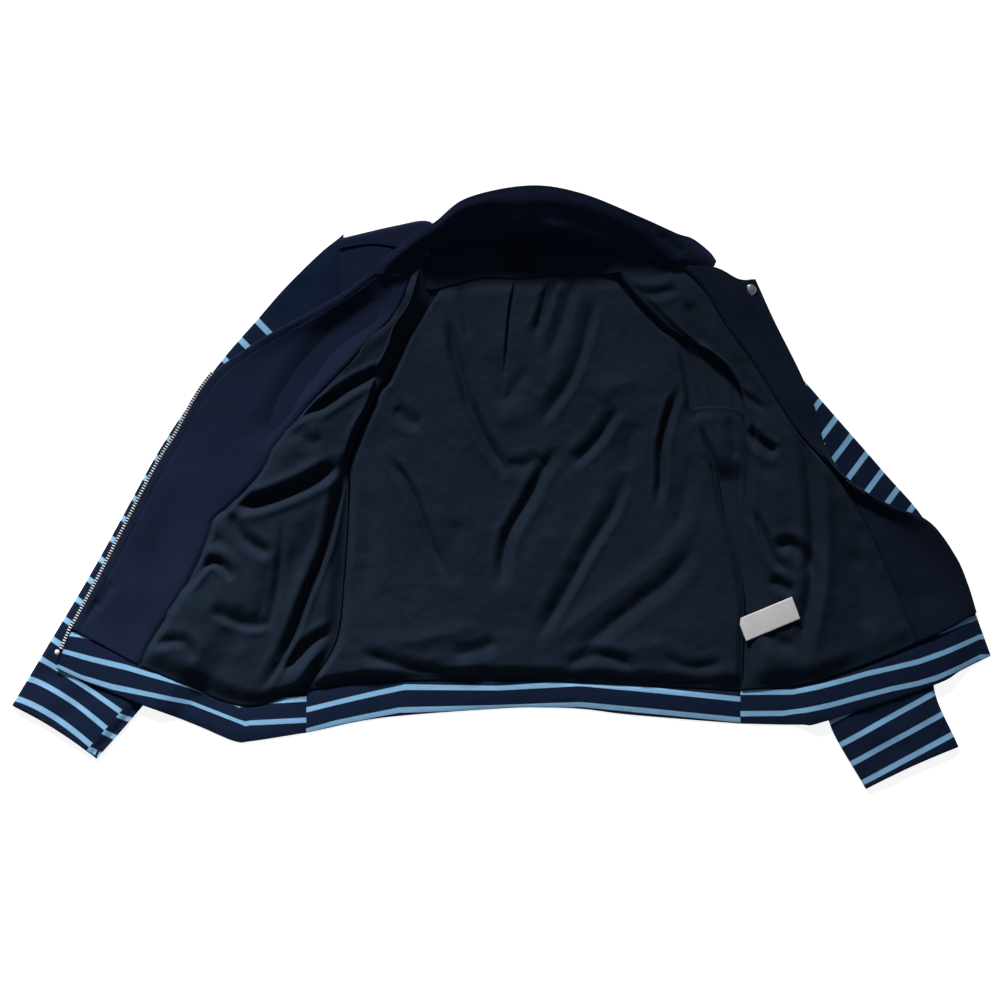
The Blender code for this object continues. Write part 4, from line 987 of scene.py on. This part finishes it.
def make_front_shell(word, side, plan, floor):
    """One cloth: out from the armhole, round the roll, and back over with its outside down."""
    plan, floor = plan[::3, ::4], floor[::3, ::4]
    armhole = curve(side["armhole"], len(plan))
    v = np.linspace(0, 1, len(plan))
    upper, shoulder = upper_share(v), ramp(v, 0.8, 0.2)
    low = (1 - upper) * SHELL / 2 + upper * (SHOULDER_FLOOR + SHELL / 2)
    high = floor[:, 0] + SHELL / 2
    radius = (high - low) / 2
    outward = unit(plan[:, 0] - plan[:, 1])
    centre = plan[:, 0] - radius[:, None] * outward
    columns = []
    for t in np.linspace(0, 1, 16):
        foot = armhole + (centre - armhole) * t
        foot[:, 1] += side["bow"] * shoulder * math.sin(math.pi * t)
        level = low + SHELL / 2 + 1.2 * upper * math.sin(math.pi * t)
        columns.append(np.column_stack([foot, level]))
    for a in np.radians(np.linspace(-75, 75, 7)):
        foot = centre + radius[:, None] * math.cos(a) * outward
        columns.append(np.column_stack([foot, (high + low) / 2 + radius * math.sin(a)]))
    columns += [np.column_stack([plan[:, k], floor[:, k] + SHELL / 2])
                for k in range(1, plan.shape[1] - 1)]
    lay(f"front_shell_{word}", np.stack(columns, axis=1), NAVY, held="folded")


def make_back():
    """Back shell: flat on the surface, turned over at the shoulders to the forward seam."""
    columns, rows = 90, 70
    top = curve(BACK_TOP, columns)
    plan = patch(curve(BACK_LEFT, rows), curve(BACK_RIGHT, rows), curve(BACK_HEM, columns), top)
    x = top[:, 0]
    share = np.maximum(smooth((-64 - x) / 12), ramp(x, 122, 16))
    (seam_x, seam_low), (end_x, seam_high) = LEFT_ARMHOLE[-1], LEFT_ROLL[-1]
    t = np.clip((x - seam_x) / (end_x - seam_x), 0, 1)
    seam_y = seam_low + t * (seam_high - seam_low) + SHOULDER_BOW * np.sin(np.pi * t)
    forward = np.where(x < 0, top[:, 1] - seam_y - 0.6, 3.0)
    lines = [with_height(row[None], np.full((1, columns), SHELL))[0] for row in plan]
    turn, radius = np.radians(15 + 165 * share), TURN_INSIDE + SHELL / 2
    for t in np.linspace(0.12, 1.0, 8):
        a = turn * t
        lines.append(np.stack([x, top[:, 1] + radius * np.sin(a),
                               SHELL + TURN_INSIDE - radius * np.cos(a)], axis=1))
    run = 0.8 + ramp(share, 0.6, 0.4) * (forward - 0.8)
    step = np.stack([0 * x, np.cos(turn), np.sin(turn)], axis=1)
    last = lines[-1]
    lines += [last + t * run[:, None] * step for t in np.linspace(0.15, 1.0, 8)]
    lay("back_shell", np.array(lines), NAVY, thickness=SHELL)


def make_back_lining():
    rows, columns = 250, 250
    left, right = curve(LEFT_SIDE_LINE, rows), curve(RIGHT_SIDE_LINE, rows)
    plan = fitted_patch(left, right, curve(BACK_HEM, columns), curve(LINING_TOP, columns))
    u, v = column_shares(columns), row_shares(rows)
    free = within(v, 24, 20) * (0.45 + 0.55 * smooth(u * 50))
    right_rise = 0.45 + 0.4 * ramp(v, 0.78, 0.1)
    free = free * (right_rise + (1 - right_rise) * smooth((1 - u) * 50))
    base = with_height(plan, SHELL + GAP + 0.9)
    fullness = BACK_FULLNESS * (1 - 0.62 * ramp(v, 0.6, 0.4))
    # the folds, then gathers above the hem band and below the neck facing
    lift = fullness + relief(base, BACK_FOLDS, 0.8) + crumple(base, 71, 0.7, 0.3)
    lift += 2.0 * lattice_noise(base * [1, 0.2, 1], 17.0, 83) * smooth(1 - v * 8)
    lift += 0.7 * lattice_noise(base * [1, 0.3, 1], 16.0, 87) * smooth(1 - (1 - v) * 7)
    # the centre pleat stands up on one side of its run, with a crease along it
    distance, side, along = to_segments(base[..., :2], curve(PLEAT_RUN, 24))
    fade = smooth(along / 0.02) * smooth((1 - along) / 0.35)
    raised = np.where(side > 0, 0.0, np.exp(-distance / PLEAT_EASE)) * smooth(distance / 1.5)
    lift += PLEAT_STEP * fade * (raised - 1.3 * bell(distance - 0.6, 0.9))
    base[..., 2] += np.maximum(lift * free, 0.0)
    lay("lining_back", with_hem_turn(base), SLATE, cut=base)
    return base


def make_armhole():
    """Sleeve lining that shows in the open armhole, pulled into lengthwise wrinkles."""
    rows, columns = 70, 90
    back = curve([(212, 66), (203, 92), (198, 122), (187, 158)], rows)
    front = curve([(262, 66), (270, 92), (264, 126), (244, 158)], rows)
    t, v = column_shares(columns), row_shares(rows)
    plan = back[:, None] * (1 - t[..., None]) + front[:, None] * t[..., None]
    strands = lattice_noise(np.stack([t * 60 + 6 * v, v * 14 + 0 * t], axis=2), 5.5, 301)
    level = 6.4 - 3.2 * smooth(v * 1.2) - 1.6 * t + 1.5 * strands * smooth(v * 5) * (1 - 0.4 * v)
    lay("sleeve_lining_right", with_height(plan, np.maximum(level, 1.2)), SLATE)


def surface_lookup(grids):
    """Height of the nearest point of some surfaces, at a place given in millimetres."""
    points = np.concatenate([grid.reshape(-1, 3) for grid in grids])
    tree = kdtree.KDTree(len(points))
    for k, (x, y, _) in enumerate(points):
        tree.insert((x, y, 0), k)
    tree.balance()
    return lambda x, y: points[tree.find((x, y, 0))[1], 2]


def make_underarm(height_at):
    """Side panel's top, which arches over the sleeve lining at the foot of the armhole."""
    rows, columns = 60, 70
    left = curve([(224, -6), (215, 20), (209, 46), (208, 66), (209, 79)], rows)
    right = curve([(272, -6), (271, 25), (267, 52), (264, 79)], rows)
    low = curve([(224, -6), (248, -6), (272, -6)], columns)
    arch = curve([(209, 79), (213, 85), (226, 87), (241, 87), (256, 84), (264, 79)], columns)
    plan = fitted_patch(left, right, low, arch)
    u, v = column_shares(columns), row_shares(rows)
    ground = np.array([height_at(*point) for point in plan.reshape(-1, 2)]).reshape(rows, columns)
    # it spans between the smoothed levels of the lining at its two sides
    sides = [np.convolve(np.pad(ground[:, k], 4, mode="edge"), np.ones(9) / 9, "valid")[:, None]
             for k in (0, -1)]
    base = sides[0] * (1 - u) + sides[1] * u
    grid = with_height(plan, 0.0)
    puff = 2.4 * np.sin(np.pi * u) ** 0.5 * smooth(v * 2.2)
    grid[..., 2] = (np.maximum(base, 8.0) - 1.2 + puff
                    + bell((1 - v) * 26, 1) + smooth(v * 4 - 2.6)
                    + relief(grid, UNDERARM_FOLDS, 0.6) + crumple(grid, 311, 0.5, 0.15))
    # and merges into the lining at its foot
    rise = ramp(v, 0.06, 0.4)
    grid[..., 2] = grid[..., 2] * rise + (ground - 0.7) * (1 - rise)
    grid = np.concatenate([grid, grid[-1:] + np.array([0, 0.4, -3.2])], axis=0)
    place(cloth("lining_underarm_cloth", grid, SLATE), cut=grid)


def make_neck_facing():
    """Facing between the collar and the lining, which climbs onto the rolls at its two ends."""
    columns = 160
    top, bottom = curve(NECK_TOP, columns), curve(NECK_LOW, columns)
    plan = patch(np.linspace(bottom[0], top[0], 24), np.linspace(bottom[-1], top[-1], 24),
                 bottom, top)
    x, y = plan[..., 0], plan[..., 1]
    left_roll = np.interp(y, [205, 248], [-94, -81])
    climb = np.maximum(0.42 * smooth(1 - (x - left_roll - 2) / 24), 0.6 * ramp(x, 104, 24))
    grid = with_height(plan, 2 * SHELL + GAP + 1.0 + climb * (ROLL_FLOOR - 1.0))
    grid[..., 2] += crumple(grid, 91, 0.4, 0.1)
    # its seam allowance stands up behind the collar's left end
    seam = grid[-1:] + np.array([0, 0.3, 0])
    seam[..., 2] += 5.0 * smooth((-46 - seam[..., 0]) / 10) * smooth((seam[..., 0] + 80) / 8)
    lay("neck_facing", np.concatenate([grid, seam], axis=0), NAVY, thickness=1.0)


def make_collar():
    """Upper and under collar, the upper one carried round the outer edge."""
    columns, rows, half_gap = 170, 60, 0.8
    lines = [curve([section[k] for section in COLLAR], columns) for k in range(4)]
    surface = np.array([curve(points, rows) for points in zip(*lines)]).transpose(1, 0, 2)
    v = row_shares(rows)
    bumps = relief(surface, COLLAR_FOLDS) + crumple(surface, 131, 0.8, 0.15)
    bumps = (bumps * within(v, 6, 6))[..., None]
    aim = normals(surface)
    upper, under = (surface + (apart + bumps) * aim for apart in (half_gap, -half_gap))
    edge = around_edge(upper.transpose(1, 0, 2), half_gap).transpose(1, 0, 2)
    lay("collar_upper", edge, NAVY, held="folded")
    lay("collar_under", under[:-1], NAVY, held="folded")


def make_band(word, top_line, bottom_line, outline, seed):
    """Doubled knit band with a rounded lower fold and a soft swelling between its seams."""
    columns, across = 260, 22
    high, low = curve(top_line, columns), curve(bottom_line, columns)
    for inner_end, way in {"left": [(-1, 1)], "right": [(0, -1)], "back": []}[word]:
        high[inner_end, 0] += BAND_OVERLAP * way
        low[inner_end, 0] += BAND_OVERLAP * way
    plan = patch(np.linspace(high[0], low[0], across), np.linspace(high[-1], low[-1], across),
                 high, low)
    v = row_shares(across)
    grid = with_height(plan, 0.0 if outline is None else support(plan, outline))
    bumps = crumple(grid, seed, 0.4, 0.1) * within(v, 4, 4)
    grid[..., 2] += BAND - 1.2 + 1.4 * np.sin(np.pi * v) ** 0.6 + bumps
    grid[..., 2] -= 1.1 * bell(v * across, 1.6)
    from_start = np.arange(columns)
    from_end = {"left": from_start[::-1], "right": from_start,
                "back": np.minimum(from_start, from_start[::-1])}[word][None, :]
    grid[..., 2] -= 0.9 * bell(from_end, 1.4)
    surface = around_edge(grid.transpose(1, 0, 2), 0.9 * BAND / 2 - 0.1).transpose(1, 0, 2)
    back = np.concatenate([surface[2:3, :, :2], surface[-1:, :, 2:]], axis=2)
    surface = np.concatenate([surface, back], axis=0)
    surface[..., 2] = np.maximum(surface[..., 2], 0.15)
    # stripes are counted between the two that run along the band
    lower, upper = (np.interp(surface[..., 0], *np.array(sorted(line)).T)
                    for line in BAND_STRIPES[word])
    count = (surface[..., 1] - lower) / (upper - lower)
    obj = lay(f"hem_band_{word}", surface, BAND_KNIT)
    turned_over = normals(surface)[..., 2].mean() < 0
    set_stripe(obj, count[:, ::-1] if turned_over else count)


def stripe_count(points, outer, marks, angles):
    """Number of stripes from the shoulder, following lines that run in from the outer edge."""
    line = curve(outer, 420)
    along = lengths_along(line)
    angle = np.radians(np.interp(along / along[-1], *zip(*angles)))
    way = np.stack([np.cos(angle), np.sin(angle)], axis=1)
    places = [along[np.argmin(np.linalg.norm(line - [x, y], axis=1))] for x, y, _ in marks]
    numbers = [n for _, _, n in marks]
    pitch = (places[1] - places[0]) / (numbers[1] - numbers[0])
    places = [0.0] + places + [along[-1]]
    numbers = [numbers[0] - places[1] / pitch] + numbers
    numbers.append(numbers[-1] + (places[-1] - places[-2]) / pitch)
    flat = points.reshape(-1, 2)
    best = np.zeros(len(flat))
    for start in range(0, len(flat), 4000):
        p = flat[start:start + 4000, None] - line[None]
        off = way[None, :, 0] * p[..., 1] - way[None, :, 1] * p[..., 0]
        reach = way[None, :, 0] * p[..., 0] + way[None, :, 1] * p[..., 1]
        first = np.argmin(np.abs(off) + np.where(reach < -3, 1e3, 0), axis=1)
        after = np.minimum(first + 1, len(line) - 1)
        each = np.arange(len(first))
        change = off[each, first] - off[each, after]
        t = np.clip(off[each, first] / np.where(np.abs(change) < 1e-6, 1e9, change), -1, 1)
        best[start:start + 4000] = along[first] + t * (along[after] - along[first])
    return np.interp(best, places, numbers).reshape(points.shape[:2])


def make_sleeve(word):
    """Flattened tube with an open cuff, whose wall turns in at its end."""
    rings, half_around = 230, 34
    sleeve = SLEEVES[word]
    out_line, in_line = curve(sleeve["outer"], rings), curve(sleeve["inner"], rings)
    across = -np.cos(np.linspace(0, math.pi, half_around))
    crown = 0.42 + 0.58 * np.sqrt(np.maximum(1.0 - np.abs(across) ** 6, 0.0))
    centre, half = (out_line + in_line) / 2, (in_line - out_line) / 2
    v = row_shares(rings)
    tall = np.interp(v, [0, 0.8, 1], SLEEVE_HEIGHTS)
    plan = centre[:, None] + across[None, :, None] * half[:, None]
    way_back = unit(-np.gradient(centre, axis=0))
    hollow = sleeve["cuff"] * ramp(v, 0.93, 0.07) * (1 - across[None, :] ** 2)
    plan += hollow[..., None] * way_back[:, None]
    top = with_height(plan, 0.0)
    folds = relief(top, SLEEVE_FOLDS) + crumple(top, sleeve["seed"], 0.55, 0.12)
    rim = smooth((1 - np.abs(across)) * 9)[None, :]
    top[..., 2] = tall * crown[None, :] + np.minimum(folds, 0.6) * rim
    # the left cuff lies thinner beyond the underarm seam
    if word == "left":
        beyond = smooth((CUFF_SEAM - to_segments(plan, in_line)[0]) / CUFF_SEAM)
        top[..., 2] = np.maximum(top[..., 2] - 3.6 * beyond * ramp(v, 0.72, 0.14), 2.3)
    bottom = with_height(plan[:, -2:0:-1], CLEAR_OF_GROUND)
    bulge = 1 - np.sqrt(np.maximum(1.0 - np.abs(across[-2:0:-1]) ** 10, 0))
    bottom[..., 2] += (tall * 0.42 - CLEAR_OF_GROUND) * bulge
    ring = np.concatenate([top, bottom], axis=1)
    # the hidden upper end is drawn out thinner under the front
    start = ring[0].copy()
    start[:, :2] += unit(centre[0] - centre[4]) * 7
    start[:, 2] = 0.3 + start[:, 2] * 0.55
    ring[0, :, 2] *= 0.8
    ring = np.concatenate([start[None], ring], axis=0)
    count = stripe_count(ring[..., :2], sleeve["outer"], sleeve["marks"], sleeve["angles"])
    # stripes sag a little near the cuff, and step at the left sleeve's underarm seam
    if word == "right":
        seam = np.full(count.shape, -1.0)
        count = count + 0.24 * smooth((16.7 - count) / 0.5) * ramp(count, 13, 2)
    else:
        seam = CUFF_SEAM - to_segments(ring[..., :2], in_line)[0]
        inward = np.clip(to_segments(ring[..., :2], out_line)[0] / 112, 0, 1)
        count = count + CUFF_BOW * np.sin(np.pi * inward ** 0.8) * ramp(count, 16.4, 1.6)
    # the cuff's wall turns in
    last = ring[-1]
    inward = unit(ring[-8, :, :2].mean(axis=0) - last[:, :2].mean(axis=0))
    towards = unit(last.mean(axis=0) - last)
    for depth, inset in CUFF_LIP:
        lip = last + np.array([*(inward * depth * 0.6), 0])
        lip[:, 2] = last[:, 2] + np.where(last[:, 2] > 1.5, -inset, inset)
        lip[:, :2] += towards[:, :2] * inset * 0.8
        ring = np.concatenate([ring, lip[None]], axis=0)
    count, seam = (np.concatenate([part, np.repeat(part[-1:], len(CUFF_LIP), axis=0)], axis=0)
                   for part in (count, seam))
    closed = np.concatenate([ring, ring[:, :1]], axis=1)
    obj = lay(f"sleeve_{word}", ring, SLEEVE_KNIT, cut=closed, wrap=True)
    set_stripe(obj, count, seam)


def offset_line(line, amount):
    along = unit(np.gradient(line, axis=0))
    return line + amount * np.stack([-along[:, 1], along[:, 0]], axis=1)


def zip_teeth(name, line, rings):
    """A row of coined teeth: rings of corners up each one, set across and along its line."""
    parts = []
    for centre, run in zip(line, unit(np.gradient(line[:, :2], axis=0))):
        side = np.array([-run[1], run[0]])
        points = [[*(centre[:2] + side * a + run * b), centre[2] + z]
                  for z, corners in rings for a, b in corners]
        parts.append((np.array(points), ring_faces(len(rings), 4)))
    obj = joined(name, parts, TEETH)
    obj.data.shade_flat()
    return place(obj)


def make_left_zip(plan):
    """Tape beside the free edge, its teeth and the pin at its end."""
    edge = plan[:int(ROWS * 0.615), -1]
    tail = np.array(LEFT_TAPE_TAIL, dtype=float)
    inner = even(np.vstack([tail, offset_line(edge, 0.2)]), 220)
    outer = even(np.vstack([offset_line(tail, TAPE_WIDTH), offset_line(edge, TAPE_WIDTH)]), 220)
    t = np.linspace(0, 1, 5)[None, :, None]
    level = OVER_SLEEVE + 0.8 + TAPE_THICKNESS
    sheet = with_height(inner[:, None] * (1 - t) + outer[:, None] * t, level)
    tape = cloth("zip_tape_left_cloth", sheet, TAPE, thickness=TAPE_THICKNESS)
    path = (inner * 0.45 + outer * 0.55)[4:]
    line = even(path, int(lengths_along(path)[-1] / TOOTH_PITCH))
    wide, long, narrow = 1.7, 0.66, 0.8
    rings = [(z, [(a * wide * size, b * long * size * (narrow if a > 0 else 1.0))
                  for a, b in ((-1, -1), (1, -1), (1, 1), (-1, 1))])
             for z, size in ((0.0, 1.0), (1.3, 1.0), (1.7, 0.72))]
    teeth = zip_teeth("zip_teeth_left", with_level(line, level), rings)
    pin = turned("zip_pin_left_metal", (*PIN_CENTRE, level + GAP), PIN_PROFILE, TEETH)
    return place(tape, ["zip_tape_left"]), teeth, place(pin, ["zip_pin_left"])


def make_right_zip(plan, floor):
    """Tape turned to the outside under the right front's edge; tooth ends show beside it."""
    stop = int(ROWS * 0.73)
    edge, inside = plan[:stop, -1], plan[:stop, -8]
    way = unit(inside - edge)
    level = np.maximum(floor[:stop, -1], 1.9)
    columns = [with_level(edge + way * reach, level - 0.6) for reach in (8, 6, 4, 2, 0.4)]
    tape = cloth("zip_tape_right_cloth", np.stack(columns, axis=1), TAPE, thickness=TAPE_THICKNESS)
    near = np.linalg.norm(edge[:, None] - np.array(GLINTS)[None], axis=2).min(axis=1)
    reach = 2.4 - 3.6 * bell(near, 3.5)
    line = even(with_level(edge + way * reach[:, None], level - 1.6),
                int(lengths_along(edge)[-1] / TOOTH_PITCH))
    corners = [(1.6, -0.62), (-1.4, -0.62 * 0.8), (-1.4, 0.62 * 0.8), (1.6, 0.62)]
    teeth = zip_teeth("zip_teeth_right", line, [(0.0, corners), (1.1, corners)])
    return place(tape, ["zip_tape_right"]), teeth


def make_slider():
    """Slider body with its pull, lying under the right front's edge."""
    along = unit(np.array(SLIDER_DIRECTION))
    side = np.array([along[1], -along[0]])
    rings = []
    for distance, half, height in SLIDER_SECTIONS:
        centre = np.array(SLIDER_START) + along * distance
        ring = []
        for a in np.linspace(0, 2 * math.pi, 16, endpoint=False):
            c, s = math.cos(a), math.sin(a)
            box = max(abs(c), abs(s)) ** 0.7
            ring.append([*(centre + side * half * c / box), 0.1 + height / 2 * (1 + s / box)])
        rings.append(ring)
    grid = np.array(rings)
    start, end = (np.broadcast_to(grid[k].mean(axis=0), grid[k].shape)[None] for k in (0, -1))
    grid = np.concatenate([start, grid, end], axis=0)
    place(cloth("zip_slider_metal", grid, STEEL, wrap=True), ["zip_slider_right"])


def make_label(name, node, sizes, level, material, bend, crease=None, height_at=None):
    """A small ribbon label: a gently bent sheet with a pressed fold."""
    corner, along, across = (np.array(part, dtype=float) for part in sizes)
    u, v = column_shares(48), row_shares(24)
    plan = corner + u[..., None] * along + v[..., None] * across
    if height_at:
        under = np.array([height_at(*point) for point in plan.reshape(-1, 2)])
        s, t = (part.ravel() for part in np.broadcast_arrays(u, v))
        terms = np.stack([np.ones_like(s), s, t, s * s, s * t, t * t], axis=1)
        fitted = terms @ np.linalg.lstsq(terms, under, rcond=None)[0]
        level = (fitted + np.percentile(under - fitted, 95)).reshape(plan.shape[:2]) + level
    height = level + bend(u, v)
    if crease:
        height = height + 0.5 * bell(u - crease, 0.02)
    grid = with_height(plan, height)
    place(cloth(name, grid, material, thickness=0.25), [node], cut=grid)


def care_label_bend(u, v):
    """The care label's left end stands up, and the rest is slightly wavy."""
    return (2.4 * smooth(1 - u / 0.16) + 0.3 * smooth(u) + 0.2 * np.sin(math.pi * v)
            + 0.2 * np.sin(5 * u))


def make_trims(height_at):
    snap_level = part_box("snap_cap")[0][2] / MM + 0.2
    place(turned("snap_cap_metal", (*SNAP_CENTRE, snap_level), SNAP_PROFILE, STEEL), ["snap_cap"])
    make_label("care_label_satin", "care_label", CARE_LABEL, 0.4, SATIN, care_label_bend,
               crease=0.66, height_at=height_at)
    make_label("neck_label_woven", "neck_label", NECK_LABEL, 6.2, LABEL,
               lambda u, v: 0.3 * np.sin(math.pi * u) + 0 * v)
    make_label("size_tab_woven", "size_tab", SIZE_TAB, 0.5, TAB,
               lambda u, v: -0.6 * (1 - v) + 0 * u, height_at=height_at)


# ---------------------------------------------------------------- surroundings


def make_floor(reach=9, level=-0.0002):
    mesh = bpy.data.meshes.new("floor")
    corners = [(x * reach, y * reach, level) for x, y in ((-1, -1), (1, -1), (1, 1), (-1, 1))]
    mesh.from_pydata(corners, [], [(0, 1, 2, 3)])
    nodes = Nodes("pale_floor")
    for key, value in {"Base Color": (0.6, 0.6, 0.6, 1.0), "Roughness": 0.9,
                       "Specular IOR Level": 0.1, "Emission Color": (1.0, 1.0, 1.0, 1.0),
                       "Emission Strength": 0.85}.items():
        nodes.shader.inputs[key].default_value = value
    mesh.materials.append(nodes.material)
    in_scene("floor", mesh)


def make_lamp(name, location, aim, power, angle, radius):
    lamp = bpy.data.lights.new(name, "SPOT")
    lamp.energy = power
    lamp.color = (1.0, 0.985, 0.96)
    lamp.spot_size = math.radians(angle)
    lamp.spot_blend = 1.0
    lamp.shadow_soft_size = radius
    obj = in_scene(name, lamp)
    obj.location = location
    obj.rotation_euler = (Vector(aim) - Vector(location)).to_track_quat("-Z", "Y").to_euler()


def make_surroundings():
    """Pale floor, a low window that rakes over the cloth, and a camera straight above."""
    scene = bpy.context.scene
    scene.view_settings.view_transform = "Standard"
    make_floor()
    window = (-1.834, 5.948, 3.069)
    make_lamp("window_light", window, (0.4, -2.4, 0.0), 5600, 22, 0.66)
    make_lamp("window_light_near", window, (-0.42, -0.9, 0.0), 3400, 8, 0.3)
    world = bpy.data.worlds.new("soft_room")
    world.use_nodes = True
    background = world.node_tree.nodes["Background"]
    background.inputs["Color"].default_value = (0.93, 0.96, 1.0, 1.0)
    background.inputs["Strength"].default_value = 0.12
    scene.world = world
    camera_data = bpy.data.cameras.new("camera")
    camera_data.lens, camera_data.sensor_width = 100.0, 36.0
    camera = in_scene("camera", camera_data)
    height = VIEW_WIDTH * camera_data.lens / camera_data.sensor_width
    camera.location = (-0.0005, -0.0142, height)
    scene.camera = camera


def make_jacket():
    make_front("left")
    right_lining = make_front("right")
    make_back()
    back_lining = make_back_lining()
    height_at = surface_lookup([right_lining, back_lining])
    make_armhole()
    make_underarm(height_at)
    make_neck_facing()
    make_collar()
    make_band("back", BACK_HEM, BACK_BOTTOM, None, 201)
    make_band("left", LEFT_HEM[::-1], LEFT_BOTTOM[::-1], LEFT_OUTLINE, 211)
    make_band("right", RIGHT_HEM, RIGHT_BOTTOM, RIGHT_OUTLINE, 221)
    make_sleeve("left")
    make_sleeve("right")
    make_slider()
    make_trims(height_at)


make_surroundings()
make_jacket()
